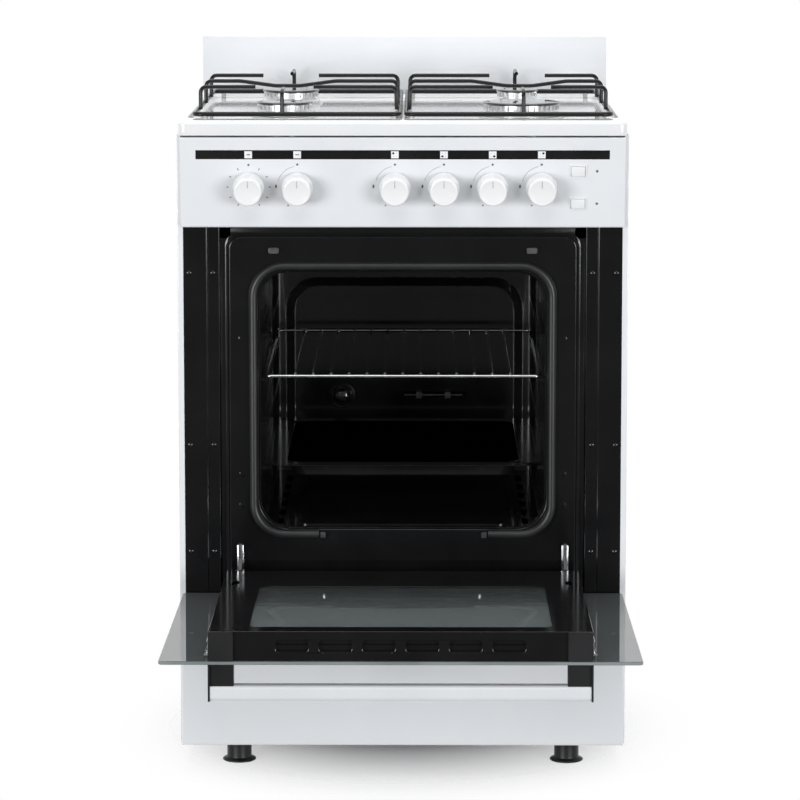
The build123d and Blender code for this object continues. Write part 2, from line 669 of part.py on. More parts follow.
# ---------------------------------------------------------------- assembly
def build():
    """Makes every node in its own place; the door stays closed until it is turned."""
    node("side_panel_right", side_panel())
    node("side_panel_left", mirror(side_panel(), about=Plane.YZ))
    node("base_pan", base_pan())
    node("rear_panel", rear_panel())
    node("front_columns", *both(column()))
    node("oven_front_frame", oven_front())
    node("door_gasket", door_gasket())
    node("gasket_clips", gasket_clip(-98), gasket_clip(100))
    node("door_catches", *both(fillet(block(151, 164, -5, 0, 643.5, 650.5).edges().filter_by(Axis.Y), 2)))
    screws = [bar_y(x, -1.4, 0, z, 3.2) for x in (232, 261) for z in (273.6, 406.5, 619)]
    rear_screws = [bar_y(x, BACK, BACK + 1.8, z, 4) for x in (-240, 240) for z in (60, 410, 770)]
    node("body_screws", *[twin for screw in screws for twin in both(screw)], *rear_screws)

    node("oven_liner", oven_liner())
    node("oven_floor_plate", oven_floor())
    node("rack_guides", *both(rack_guide()))
    node("oven_burner_tube", oven_burner())
    node("wire_rack", wire_rack())
    node("baking_tray", baking_tray())
    node("oven_lamp", *oven_lamp())
    node("thermostat_phial", thermostat_phial())
    node("oven_insulation", insulation())

    node("hob_top", hob_top())
    node("rear_upstand", upstand())
    node("burner_cups", *[burner_cup(*place) for place in BURNERS.values()])
    node("gas_injectors", *[injector(*place) for place in BURNERS.values()])
    node("spark_electrodes", *[spark_electrode(*place) for place in BURNERS.values()])
    node("burner_crowns", *[burner_crown(*place) for place in BURNERS.values()])
    node("burner_caps", *[burner_cap(*place) for place in BURNERS.values()])
    left_support = [pan_support(), *support_buffers()]
    node("pan_support_left", *left_support)
    node("pan_support_right", *[mirror(piece, about=Plane.YZ) for piece in left_support])

    node("control_fascia", fascia())
    node("minute_timer", minute_timer())
    node("knob_timer", knob(TIMER_X, 3 + RUNNING_GAP))
    gas_knobs = {"oven": OVEN_KNOB_X, **HOB_KNOB_X}
    for name, x in gas_knobs.items():
        node(f"knob_{name}", knob(x, 4 + RUNNING_GAP))
    node("gas_taps", *[gas_tap(x) for x in gas_knobs.values()])
    node("tap_stems", *[tap_stem(x) for x in gas_knobs.values()])
    for name, z in BUTTON_Z.items():
        node(f"button_{name}", push_button(z))
    node("button_bezels", *[button_bezel(z) for z in BUTTON_Z.values()])
    node("switch_bodies", *[brick(BUTTON_X, z, 20, 15, -30, -11) for z in BUTTON_Z.values()])
    node("gas_rail", gas_rail())
    node("gas_inlet", gas_inlet())
    pipe_heights = {"front_left": 700, "rear_left": 714, "rear_right": 686, "front_right": 674}
    pipes = [gas_pipe(HOB_KNOB_X[name], *BURNERS[name][:2], pipe_heights[name]) for name in BURNERS]
    node("hob_gas_pipes", *pipes)
    node("ignition_module", block(-60, 20, 150, 210, 640.2, 668))

    node("hinge_arms", *both(hinge_arm()), *both(hinge_receiver()))
    node("drawer_front", drawer_front())
    node("drawer_box", drawer_box())
    node("drawer_runners", *both(drawer_runner()))
    node("levelling_feet", *[foot(x, y) for x in (-FOOT_X, FOOT_X) for y in (FOOT_FRONT, FOOT_BACK)])

    door = {
        "door_outer_glass": [outer_glass()],
        "door_inner_glass": [slab(-182, 182, -15, -10.3, 369, 648, 6)],
        "door_liner": [door_liner()],
        "door_top_blocks": both(top_block()),
        "door_hinge_cases": both(hinge_case()),
        "door_side_strips": both(side_strip()),
        "handle_bar": [handle_bar()],
        "handle_brackets": both(handle_bracket()),
    }
    hinge_line = Axis((0, PIVOT_Y, PIVOT_Z), (1, 0, 0))
    for name, shapes in door.items():
        node(name, *[shape.rotate(hinge_line, OPEN_ANGLE) for shape in shapes])


# The open door's top edge is the front-most point, and the gas inlet's end is the rear-most one.
OPEN = radians(OPEN_ANGLE)
FRONT_MOST = PIVOT_Y - (GLASS_TOP - PIVOT_Z) * sin(OPEN) + (GLASS_FACE - PIVOT_Y) * cos(OPEN)
CENTRE_Y = (FRONT_MOST + INLET_END) / 2

build()
os.makedirs("parts", exist_ok=True)
for name, shape in nodes.items():
    export_step(Pos(0, -CENTRE_Y, 0) * shape, f"parts/{name}.step")
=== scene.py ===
"""Looks of a freestanding gas range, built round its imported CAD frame.

Lengths are millimetres until MM, at() or turn() makes them metres.
"""
import json
import math

import bmesh
import bpy
from mathutils import Matrix, Vector


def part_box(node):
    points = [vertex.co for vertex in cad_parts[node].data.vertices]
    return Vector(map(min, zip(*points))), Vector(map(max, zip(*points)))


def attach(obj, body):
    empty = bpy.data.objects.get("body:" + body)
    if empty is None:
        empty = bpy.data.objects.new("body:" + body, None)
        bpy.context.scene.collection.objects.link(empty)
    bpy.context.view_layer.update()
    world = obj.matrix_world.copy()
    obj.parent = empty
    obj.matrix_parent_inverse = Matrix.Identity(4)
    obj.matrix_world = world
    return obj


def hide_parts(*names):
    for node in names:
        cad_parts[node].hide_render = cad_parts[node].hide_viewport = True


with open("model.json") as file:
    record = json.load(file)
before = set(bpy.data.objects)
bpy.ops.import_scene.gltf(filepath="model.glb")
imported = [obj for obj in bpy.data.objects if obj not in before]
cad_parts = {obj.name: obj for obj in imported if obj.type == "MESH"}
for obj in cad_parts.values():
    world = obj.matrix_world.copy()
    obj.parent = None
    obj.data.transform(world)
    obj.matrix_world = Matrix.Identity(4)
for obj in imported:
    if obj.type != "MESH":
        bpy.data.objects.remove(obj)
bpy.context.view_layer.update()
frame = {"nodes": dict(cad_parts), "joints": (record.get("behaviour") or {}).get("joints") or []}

MM = 0.001
FRONT_LEAN = math.atan2(16, 111)
door_joint = next(joint for joint in frame["joints"] if joint["name"] == "door_hinge")
DOOR_OPEN = math.radians(door_joint["range_deg"][1])

# places taken from the CAD frame
hob_low, hob_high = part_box("hob_top")
upstand_low, upstand_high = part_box("rear_upstand")
frame_low, frame_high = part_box("oven_front_frame")
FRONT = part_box("front_columns")[0].y


def at(x, depth, z):
    """A point from millimetres: right of the middle, behind the cabinet's front plane, above the floor."""
    return Vector((x * MM, FRONT + depth * MM, z * MM))


PIVOT = at(0, -18, 247)
OPENED = Matrix.Translation(PIVOT) @ Matrix.Rotation(DOOR_OPEN, 4, "X") @ Matrix.Translation(-PIVOT)


# ---------------------------------------------------------------- materials
def tree_of(name):
    """A new material, with its nodes, its links and its shader."""
    material = bpy.data.materials.new(name)
    material.use_nodes = True
    nodes = material.node_tree.nodes
    return material, nodes, material.node_tree.links, nodes["Principled BSDF"]


def noise_of(nodes, links, scale, detail=3.0, stretch=(1, 1, 1)):
    """Noise on object coordinates, with a scale in cycles per metre."""
    place = nodes.new("ShaderNodeTexCoord")
    mapping = nodes.new("ShaderNodeMapping")
    mapping.inputs["Scale"].default_value = stretch
    noise = nodes.new("ShaderNodeTexNoise")
    noise.inputs["Scale"].default_value = scale
    noise.inputs["Detail"].default_value = detail
    links.new(place.outputs["Object"], mapping.inputs["Vector"])
    links.new(mapping.outputs["Vector"], noise.inputs["Vector"])
    return noise


def span(nodes, links, source, low, high):
    """Maps a noise value to a range of numbers."""
    ramp = nodes.new("ShaderNodeMapRange")
    ramp.inputs["From Min"].default_value = 0.3
    ramp.inputs["From Max"].default_value = 0.7
    ramp.inputs["To Min"].default_value = low
    ramp.inputs["To Max"].default_value = high
    links.new(source, ramp.inputs["Value"])
    return ramp.outputs["Result"]


def finish_material(
    name, dark, light, rough, metallic=0.0, coat=0.0, specular=0.5,
    patch=14.0, grain=900.0, bump=0.02, stretch=(1, 1, 1), depth=0.0002,
):
    """A finish with slow colour patches, uneven gloss and a fine surface texture."""
    material, nodes, links, shader = tree_of(name)
    shader.inputs["Metallic"].default_value = metallic
    shader.inputs["Coat Weight"].default_value = coat
    shader.inputs["Coat Roughness"].default_value = 0.05
    shader.inputs["Specular IOR Level"].default_value = specular
    slow = noise_of(nodes, links, patch)
    mix = nodes.new("ShaderNodeMix")
    mix.data_type = "RGBA"
    mix.inputs["A"].default_value = (*dark, 1)
    mix.inputs["B"].default_value = (*light, 1)
    links.new(span(nodes, links, slow.outputs["Fac"], 0, 1), mix.inputs["Factor"])
    links.new(mix.outputs["Result"], shader.inputs["Base Color"])
    links.new(span(nodes, links, slow.outputs["Fac"], rough[0], rough[1]), shader.inputs["Roughness"])
    fine = noise_of(nodes, links, grain, 2.0, stretch)
    relief = nodes.new("ShaderNodeBump")
    relief.inputs["Strength"].default_value = bump
    relief.inputs["Distance"].default_value = depth
    links.new(fine.outputs["Fac"], relief.inputs["Height"])
    links.new(relief.outputs["Normal"], shader.inputs["Normal"])
    return material


def glass_material(name, tint, roughness, clear=1.0):
    """Clear or tinted glass with a faint unevenness; what isn't clear is a pale veil on it."""
    material, nodes, links, shader = tree_of(name)
    shader.inputs["Transmission Weight"].default_value = clear
    shader.inputs["IOR"].default_value = 1.5
    slow = noise_of(nodes, links, 6)
    mix = nodes.new("ShaderNodeMix")
    mix.data_type = "RGBA"
    mix.inputs["A"].default_value = (*tint, 1)
    mix.inputs["B"].default_value = (*[value * 0.94 for value in tint], 1)
    links.new(slow.outputs["Fac"], mix.inputs["Factor"])
    links.new(mix.outputs["Result"], shader.inputs["Base Color"])
    links.new(
        span(nodes, links, slow.outputs["Fac"], roughness, roughness + 0.01),
        shader.inputs["Roughness"],
    )
    return material


WHITE_ENAMEL = finish_material(
    "white_stove_enamel", (0.78, 0.797, 0.82), (0.81, 0.825, 0.845), (0.13, 0.2), coat=0.4,
    grain=200, bump=0.02)
HOB_ENAMEL = finish_material(
    "white_hob_enamel", (0.79, 0.805, 0.82), (0.82, 0.83, 0.84), (0.08, 0.12), coat=0.5, grain=160,
    bump=0.002)
BLACK_ENAMEL = finish_material(
    "black_stove_enamel", (0.0035, 0.0035, 0.004), (0.006, 0.006, 0.0065), (0.1, 0.16),
    specular=0.45, grain=420, bump=0.03)
OVEN_ENAMEL = finish_material(
    "black_oven_enamel", (0.006, 0.006, 0.006), (0.011, 0.011, 0.011), (0.13, 0.22), coat=0.2,
    grain=380, bump=0.05)
WIRE_ENAMEL = finish_material(
    "black_wire_enamel", (0.005, 0.005, 0.005), (0.01, 0.01, 0.01), (0.16, 0.24), specular=0.3,
    grain=700, bump=0.1)
CAP_ENAMEL = finish_material(
    "black_cap_enamel", (0.006, 0.006, 0.006), (0.01, 0.01, 0.01), (0.05, 0.08), coat=0.6,
    grain=1400, bump=0.01)
ZINC = finish_material(
    "bright_zinc", (0.5, 0.51, 0.52), (0.68, 0.69, 0.7), (0.22, 0.36), metallic=1.0, patch=120,
    grain=1500, bump=0.06)
# Steel darkened far below ZINC and GALVANISED: painted shade on the hinge parts, catches, seal clips, phial
# and lamp ring in the dim oven mouth and cavity.
SHADED_STEEL = finish_material(
    "steel_painted_shade", (0.1, 0.1, 0.105), (0.16, 0.16, 0.165), (0.3, 0.42), metallic=1.0, patch=90,
    grain=1200, bump=0.06)
GALVANISED = finish_material(
    "galvanised_sheet", (0.44, 0.45, 0.46), (0.6, 0.61, 0.62), (0.3, 0.45), metallic=1.0, patch=60,
    grain=700, bump=0.05)
CHROME = finish_material(
    "bright_chrome", (0.72, 0.72, 0.73), (0.8, 0.8, 0.81), (0.05, 0.1), metallic=1.0, patch=60,
    grain=900, bump=0.01)
ALLOY = finish_material(
    "satin_burner_alloy", (0.8, 0.81, 0.82), (0.88, 0.885, 0.89), (0.26, 0.36), metallic=1.0,
    patch=70, grain=2200, bump=0.05)
SPILL_METAL = finish_material(
    "light_spill_ring", (0.66, 0.665, 0.67), (0.74, 0.745, 0.75), (0.3, 0.4), metallic=0.8,
    patch=60, grain=1500, bump=0.05)
BRASS = finish_material(
    "turned_brass", (0.62, 0.44, 0.18), (0.72, 0.53, 0.25), (0.2, 0.32), metallic=1.0, patch=90,
    grain=1200, bump=0.05)
SEAL = finish_material(
    "grey_silicone_seal", (0.01, 0.0105, 0.011), (0.017, 0.0175, 0.018), (0.32, 0.42), specular=0.5,
    grain=1600, bump=0.1)
KNOB_WHITE = finish_material(
    "white_knob_plastic", (0.84, 0.845, 0.85), (0.87, 0.875, 0.88), (0.24, 0.32), coat=0.15,
    grain=2600, bump=0.06)
BUTTON_WHITE = finish_material(
    "white_button_plastic", (0.79, 0.8, 0.81), (0.83, 0.84, 0.85), (0.26, 0.34), grain=2400, bump=0.06)
BLACK_PLASTIC = finish_material(
    "black_moulded_plastic", (0.006, 0.006, 0.0065), (0.009, 0.009, 0.01), (0.34, 0.44),
    specular=0.4, grain=2200, bump=0.12)
# Near-black matt finish: painted shade, laid where the hinge slot windows and the screw heads' cross recesses
# are.
RECESS_SHADE = finish_material(
    "painted_recess_shade", (0.006, 0.006, 0.006), (0.01, 0.01, 0.01), (0.6, 0.75), grain=900, bump=0.05)
PRINT_BLACK = finish_material(
    "black_panel_print", (0.004, 0.004, 0.004), (0.006, 0.006, 0.006), (0.22, 0.3), grain=900, bump=0.02)
PRINT_GREY = finish_material(
    "grey_panel_print", (0.1, 0.1, 0.105), (0.13, 0.13, 0.135), (0.3, 0.4), grain=900, bump=0.02)
PRINT_WHITE = finish_material(
    "white_panel_print", (0.82, 0.83, 0.84), (0.86, 0.87, 0.88), (0.3, 0.4), grain=900, bump=0.02)
GROOVE_GREY = finish_material(
    "knob_line_fill", (0.42, 0.43, 0.44), (0.5, 0.51, 0.52), (0.4, 0.5), grain=900, bump=0.02)
PORCELAIN = finish_material(
    "white_porcelain", (0.76, 0.75, 0.71), (0.83, 0.82, 0.79), (0.2, 0.34), coat=0.2, patch=90,
    grain=900, bump=0.05)
BUFFER_RUBBER = finish_material(
    "pale_buffer_rubber", (0.5, 0.5, 0.48), (0.58, 0.58, 0.56), (0.5, 0.6), grain=1600, bump=0.1)
WOOL = finish_material(
    "mineral_wool", (0.5, 0.45, 0.28), (0.62, 0.57, 0.4), (0.85, 0.95), patch=50, grain=500,
    bump=0.8, depth=0.002)
SMOKED_GLASS = glass_material("smoked_door_glass", (0.4, 0.425, 0.445), 0.0, 0.84)
WINDOW_GLASS = glass_material("window_pane_glass", (0.78, 0.86, 0.86), 0.0, 0.92)
# White enamel made darker than WHITE_ENAMEL: painted shade, so the handle bar, which faces the lamps, reads
# no brighter than the drawer front below it.
SHADED_HANDLE_ENAMEL = finish_material(
    "white_enamel_darkened_as_shade", (0.66, 0.675, 0.695), (0.7, 0.713, 0.73), (0.15, 0.22), coat=0.3,
    grain=200, bump=0.02)
GLASS_EDGE = finish_material(
    "ground_glass_edge", (0.16, 0.185, 0.18), (0.22, 0.245, 0.24), (0.3, 0.42), grain=1500, bump=0.08)
LAMP_GLASS = glass_material("lamp_cover_glass", (0.93, 0.93, 0.9), 0.02)


# ---------------------------------------------------------------- mesh helpers
def add_piece(name, mesh, body, stands_for):
    """Puts a finished mesh in the scene as a piece that rides on a body."""
    piece = bpy.data.objects.new(name, mesh)
    bpy.context.scene.collection.objects.link(piece)
    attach(piece, body)
    if stands_for:
        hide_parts(*stands_for)
    return piece


def make_piece(name, bm, material, body="cabinet", stands_for=(), place=None, smooth=32):
    """Turns a bmesh into a finished piece that rides on a body."""
    bmesh.ops.remove_doubles(bm, verts=bm.verts, dist=1e-6)
    if place is not None:
        bmesh.ops.transform(bm, matrix=place, verts=bm.verts)
    bmesh.ops.recalc_face_normals(bm, faces=bm.faces)
    for edge in bm.edges:
        edge.smooth = not (edge.is_manifold and edge.calc_face_angle(0) > math.radians(smooth))
    for face in bm.faces:
        face.smooth = True
    mesh = bpy.data.meshes.new(name)
    bm.to_mesh(mesh)
    bm.free()
    mesh.materials.append(material)
    return add_piece(name, mesh, body, stands_for)


def sheet_metal(piece, thickness, outwards=False):
    """Gives an open skin its sheet thickness and even shading."""
    wall = piece.modifiers.new("sheet", "SOLIDIFY")
    wall.thickness = thickness
    wall.offset = 1 if outwards else -1
    wall.use_even_offset = True
    even_shading(piece)


def even_shading(piece):
    """Lets large flat faces keep flat shading beside small rounded ones."""
    shading = piece.modifiers.new("shading", "WEIGHTED_NORMAL")
    shading.keep_sharp = True
    shading.weight = 60


def fit_cube(bm, low, high):
    """Adds a cube stretched between two corners, and returns its vertices."""
    low, high = Vector(low), Vector(high)
    size = high - low
    place = Matrix.Translation((low + high) / 2) @ Matrix.Diagonal((*size, 1))
    return bmesh.ops.create_cube(bm, size=1, matrix=place)["verts"]


def soften(bm, width, segments=3, angle=40, edges=None):
    """Rounds the sharp edges."""
    limit = math.radians(angle)
    sharp = [
        edge for edge in (edges or bm.edges) if len(edge.link_faces) == 2 and edge.calc_face_angle(0) > limit
    ]
    bmesh.ops.bevel(
        bm, geom=sharp, offset=width, offset_type="OFFSET", segments=segments,
        profile=0.5, affect="EDGES", material=-1, clamp_overlap=True,
    )


def edges_along(bm, axis):
    """Edges that run along an axis: 0 for X, 1 for Y, 2 for Z."""
    found = []
    for edge in bm.edges:
        run = (edge.verts[1].co - edge.verts[0].co).normalized()
        if abs(run[axis]) > 0.99:
            found.append(edge)
    return found


def round_edges(bm, edges, radius, segments=6):
    """Rounds the given edges to a radius."""
    bmesh.ops.bevel(
        bm, geom=edges, offset=radius, offset_type="OFFSET", segments=segments,
        profile=0.5, affect="EDGES", material=-1,
    )


def rounded_ring(bm, place, half_u, half_v, radius, depth, segments=8):
    """Adds a closed line: a rounded rectangle in place's XY plane, moved by depth along its Z."""
    before = set(bm.faces)
    stretch = place @ Matrix.Translation((0, 0, depth)) @ Matrix.Diagonal((half_u, half_v, 1, 1))
    corners = bmesh.ops.create_grid(bm, x_segments=1, y_segments=1, size=1, matrix=stretch)["verts"]
    bmesh.ops.bevel(
        bm, geom=corners, offset=radius, offset_type="OFFSET", segments=segments,
        profile=0.5, affect="VERTICES", material=-1,
    )
    face = next(made for made in bm.faces if made not in before)
    ring = list(face.edges)
    bmesh.ops.delete(bm, geom=[face], context="FACES_ONLY")
    return ring


def loft(bm, place, sections, close_first=False, close_last=False, segments=8):
    """Joins rounded rectangles (half width, half height, corner radius, depth) into one skin."""
    rings = [rounded_ring(bm, place, *section, segments) for section in sections]
    for near, far in zip(rings, rings[1:]):
        bmesh.ops.bridge_loops(bm, edges=near + far)
    if close_first:
        bmesh.ops.contextual_create(bm, geom=rings[0])
    if close_last:
        bmesh.ops.contextual_create(bm, geom=rings[-1])
    return rings


def flat_join(bm, outer, inner):
    """Fills the flat area between two closed lines that lie in one plane."""
    bmesh.ops.triangle_fill(bm, use_beauty=True, edges=outer + inner)


def turn(bm, profile, place, steps=48):
    """Spins a profile of (radius, height) points in millimetres round place's Z axis."""
    verts = [bm.verts.new((radius * MM, 0, height * MM)) for radius, height in profile]
    edges = [bm.edges.new(pair) for pair in zip(verts, verts[1:])]
    spun = bmesh.ops.spin(
        bm, geom=verts + edges, cent=(0, 0, 0), axis=(0, 0, 1), angle=math.tau, steps=steps, use_merge=True,
    )
    made = {vert for vert in spun["geom_last"] if isinstance(vert, bmesh.types.BMVert)} | set(verts)
    grown = set(made)
    while made:
        near = {edge.other_vert(vert) for vert in made for edge in vert.link_edges} - grown
        grown |= near
        made = near
    bmesh.ops.transform(bm, matrix=place, verts=list(grown))
    return list(grown)


def facing(point, lean=0.0):
    """A frame at a point of the front: X right, Y up the face, Z out towards a person in front."""
    return Matrix.Translation(point) @ Matrix.Rotation(math.pi / 2 + lean, 4, "X")


def upright(x, depth, z):
    """A frame standing at a point, with Z up."""
    return Matrix.Translation(at(x, depth, z))


def bend_points(points, radius, steps=6):
    """A line through the points with its corners rounded to arcs."""
    smooth = [points[0]]
    for before, corner, after in zip(points, points[1:], points[2:]):
        back = (before - corner).normalized()
        ahead = (after - corner).normalized()
        half = back.angle(ahead) / 2
        reach = min(radius / math.tan(half), (before - corner).length * 0.48, (after - corner).length * 0.48)
        centre = corner + (back + ahead).normalized() * (reach / math.cos(half))
        start = corner + back * reach - centre
        stop = corner + ahead * reach - centre
        for step in range(steps + 1):
            smooth.append(centre + start.normalized().slerp(stop.normalized(), step / steps) * start.length)
    smooth.append(points[-1])
    return smooth


def curve_mesh(curve):
    """The mesh that a thickened curve makes."""
    holder = bpy.data.objects.new(curve.name + "_holder", curve)
    bpy.context.scene.collection.objects.link(holder)
    bpy.context.view_layer.update()
    mesh = bpy.data.meshes.new_from_object(holder.evaluated_get(bpy.context.evaluated_depsgraph_get()))
    bpy.data.objects.remove(holder)
    return mesh


def wire_piece(name, runs, material, body="cabinet", stands_for=(), place=None, sides=4):
    """Round wires: each run is (points, wire radius, bend radius, closed)."""
    curve = bpy.data.curves.new(name, "CURVE")
    curve.dimensions = "3D"
    curve.bevel_depth = 1.0
    curve.bevel_resolution = sides
    curve.use_fill_caps = True
    for points, radius, bend, closed in runs:
        line = points
        if closed:
            line = [(points[0] + points[-1]) / 2, *points, (points[0] + points[-1]) / 2]
        if len(line) > 2:
            line = bend_points(line, bend)
        if closed:
            line = line[:-1]
        if place is not None:
            line = [place @ point for point in line]
        spline = curve.splines.new("POLY")
        spline.points.add(len(line) - 1)
        spline.use_cyclic_u = closed
        spline.use_smooth = True
        for knot, point in zip(spline.points, line):
            knot.co = (*point, 1)
            knot.radius = radius
    mesh = curve_mesh(curve)
    mesh.name = name
    mesh.materials.clear()
    mesh.materials.append(material)
    for polygon in mesh.polygons:
        polygon.use_smooth = True
    return add_piece(name, mesh, body, stands_for)


def dress(material, *node_names, edge=0.0):
    """Gives CAD nodes a finish, and small rounded edges where edge is given."""
    for name in node_names:
        thing = frame["nodes"][name]
        thing.data.materials.clear()
        thing.data.materials.append(material)
        if edge:
            weld = thing.modifiers.new("weld", "WELD")
            weld.merge_threshold = 0.00001
            bevel = thing.modifiers.new("edge", "BEVEL")
            bevel.width = edge
            bevel.segments = 2
            bevel.limit_method = "ANGLE"
            bevel.angle_limit = math.radians(38)


# ---------------------------------------------------------------- hob
def hob():
    """Pressed hob: rolled outer rim, soft inner step and a sunk field."""
    bm = bmesh.new()
    centre = (hob_low + hob_high) / 2
    place = Matrix.Translation((centre.x, centre.y, hob_high.z))
    half_x = (hob_high.x - hob_low.x) / 2
    half_y = (hob_high.y - hob_low.y) / 2
    thick = hob_high.z - hob_low.z
    field_x = 262 * MM
    field_front = FRONT + 2 * MM
    field_back = FRONT + 450 * MM
    field_y = (field_back - field_front) / 2
    inner = Matrix.Translation((0, (field_back + field_front) / 2, hob_high.z))
    outer = [
        (half_x, half_y, 9 * MM, -thick),
        (half_x, half_y, 9 * MM, -5 * MM),
        (half_x - 0.7 * MM, half_y - 0.7 * MM, 8.4 * MM, -2.4 * MM),
        (half_x - 2.4 * MM, half_y - 2.4 * MM, 7.5 * MM, -0.7 * MM),
        (half_x - 5 * MM, half_y - 5 * MM, 6 * MM, 0),
    ]
    step = [
        (field_x + 1.5 * MM, field_y + 1.5 * MM, 21 * MM, 0),
        (field_x, field_y, 20 * MM, -0.6 * MM),
        (field_x - 2.4 * MM, field_y - 2.4 * MM, 18 * MM, -4.2 * MM),
        (field_x - 4 * MM, field_y - 4 * MM, 17 * MM, -5 * MM),
    ]
    rim = loft(bm, place, outer)
    bowl = loft(bm, inner, step, close_last=True)
    flat_join(bm, rim[-1], bowl[0])
    piece = make_piece("hob_pressing", bm, HOB_ENAMEL, stands_for=["hob_top"], smooth=50)
    sheet_metal(piece, 1.2 * MM)


def upstand():
    """Folded rear upstand with a rounded top edge, open behind."""
    bm = bmesh.new()
    fit_cube(bm, upstand_low, upstand_high)
    soften(bm, 2.5 * MM, 3, edges=[e for e in edges_along(bm, 0) if e.verts[0].co.z > upstand_low.z + 0.01])
    back = [face for face in bm.faces if face.normal.y > 0.95 or face.normal.z < -0.95]
    bmesh.ops.delete(bm, geom=back, context="FACES_ONLY")
    piece = make_piece("upstand_sheet", bm, WHITE_ENAMEL, stands_for=["rear_upstand"])
    sheet_metal(piece, 1.2 * MM)


# middle across, middle in depth and cap radius of each burner
BURNERS = {
    "front_left": (-147, 97, 35),
    "rear_left": (-147, 329, 36.5),
    "front_right": (147, 97, 48.5),
    "rear_right": (147, 329, 27),
}
FIELD_Z = 803
SLOTS_PER_MM = 0.9


def crowns():
    """Flame crowns: a stepped ring whose upper wall has a comb of flame slots."""
    bm = bmesh.new()
    for x, depth, cap in BURNERS.values():
        radius = cap - 4
        count = round(radius * SLOTS_PER_MM)
        profile = [
            (radius - 5, 1.8), (radius + 4.6, 1.8), (radius + 5, 2.4), (radius + 5, 4.6), (radius + 4.2, 5.4),
            (radius + 0.6, 5.6), (radius, 6.4), (radius, 9.4), (radius, 15.8), (radius - 1, 16.4), (0, 16.4),
        ]
        verts = turn(bm, profile, upright(x, depth, FIELD_Z), steps=2 * count)
        low = (FIELD_Z + 9.3) * MM
        high = (FIELD_Z + 15.9) * MM
        wall = [
            face for face in {f for v in verts for f in v.link_faces}
            if all(low < vert.co.z < high for vert in face.verts) and abs(face.normal.z) < 0.1
        ]
        centre = at(x, depth, 0)
        spokes = {face: face.calc_center_median() - centre for face in wall}
        wall.sort(key=lambda face: math.atan2(spokes[face].y, spokes[face].x))
        slots = wall[::2]
        bmesh.ops.inset_individual(bm, faces=slots, thickness=0.5 * MM, depth=0)
        bmesh.ops.inset_individual(bm, faces=slots, thickness=0.05 * MM, depth=-3 * MM)
    make_piece("flame_crowns", bm, ALLOY, stands_for=["burner_crowns"])


def caps():
    """Enamelled burner caps with a soft rounded edge and a shallow dished top."""
    bm = bmesh.new()
    for x, depth, cap in BURNERS.values():
        profile = [
            (0, 16.6), (cap - 3, 16.6), (cap - 0.6, 16.8), (cap, 17.3), (cap, 18), (cap - 0.5, 18.7),
            (cap - 1.8, 19.2), (cap - 5, 19.6), (cap - 8, 19.5), (0, 19.3),
        ]
        turn(bm, profile, upright(x, depth, FIELD_Z), steps=72)
    make_piece(
        "enamel_burner_caps", bm, CAP_ENAMEL, stands_for=["burner_caps"],
        smooth=50,
    )


def cups():
    """Spill rings: dished light rings with a rolled edge, and the mixing bowls below the hob."""
    bm = bmesh.new()
    for x, depth, cap in BURNERS.values():
        throat = cap - 4
        profile = [
            (5, -33), (5, -31), (throat - 2, -31), (throat, -29), (throat, 1.5), (throat + 6.5, 1.5),
            (throat + 8.6, 1.2), (throat + 9, 0.6), (throat + 8.6, 0.1), (throat + 1.5, 0.1),
            (throat + 1.5, -33), (5, -33),
        ]
        turn(bm, profile, upright(x, depth, FIELD_Z), steps=72)
    make_piece("spill_rings", bm, SPILL_METAL, stands_for=["burner_cups"])


def electrode_place(x, depth, cap):
    """Where a burner's spark electrode stands."""
    reach = cap - 4 + 9 + 4.5
    side = 1 if x < 0 else -1
    angle = math.radians(25)
    return x + side * reach * math.sin(angle), depth + reach * math.cos(angle)


def electrodes():
    """Porcelain electrodes with a collar, and their steel tips."""
    porcelain = bmesh.new()
    tips = bmesh.new()
    for burner in BURNERS.values():
        x, depth = electrode_place(*burner)
        body = [(0, -21), (3, -21), (3, 1), (2.9, 2), (2.5, 3), (2.5, 15), (2.1, 17.5), (0, 18)]
        tip = [(0, 17), (0.9, 17), (0.9, 22), (0.5, 23), (0, 23)]
        turn(porcelain, body, upright(x, depth, FIELD_Z), steps=24)
        turn(tips, tip, upright(x, depth, FIELD_Z), steps=12)
    make_piece(
        "electrode_porcelain", porcelain, PORCELAIN, stands_for=["spark_electrodes"],
    )
    make_piece("electrode_tips", tips, ZINC)


def pan_support(side, name):
    """One enamelled wire pan support over two burners; side is -1 for the left one."""
    low, high = 812, 840
    front, back = 15, 442
    outer, inner = 254, 4.3
    leg_out, leg_in, middle = 251, 8, 147
    reach = 36

    def points(*triples):
        """Points given for the right support, mirrored for the left one."""
        return [at(side * x, depth, z) for x, depth, z in triples]

    runs = [(
        points((outer, front, low), (inner, front, low), (inner, back, low), (outer, back, low)),
        3 * MM, 10 * MM, True,
    )]
    for row in (97, 329):
        for leg, tip in ((leg_out, middle + reach), (leg_in, middle - reach)):
            prong = points((leg, row, low), (leg, row, high), (tip, row, high))
            runs.append((prong, 2.5 * MM, 7 * MM, False))
    row = 213
    dipped = points(
        (leg_out, row, high), (middle + 60, row, high), (middle + 16, row, high - 6),
        (middle - 16, row, high - 6), (middle - 60, row, high), (leg_in, row, high),
    )
    dipped = bend_points(dipped, 60 * MM)
    dipped = [*points((leg_out, row, low)), *dipped, *points((leg_in, row, low))]
    runs.append((dipped, 2.5 * MM, 7 * MM, False))
    for start, stop in ((front, 61), (back, 365)):
        prong = points((middle, start, low), (middle, start, high), (middle, stop, high))
        runs.append((prong, 2.5 * MM, 7 * MM, False))
    wire_piece(
        name + "_wires", runs, WIRE_ENAMEL, body=name.replace("pan_", ""), stands_for=[name],
    )
    bm = bmesh.new()
    buffer_profile = [(0, 0.1), (2.4, 0.1), (3, 0.8), (3, 5.8), (2.6, 6.5), (0, 6.5)]
    for x in (241, 11):
        for depth in (front, back):
            turn(bm, buffer_profile, upright(side * x, depth, FIELD_Z), steps=20)
    make_piece(name + "_buffers", bm, BUFFER_RUBBER, body=name.replace("pan_", ""))


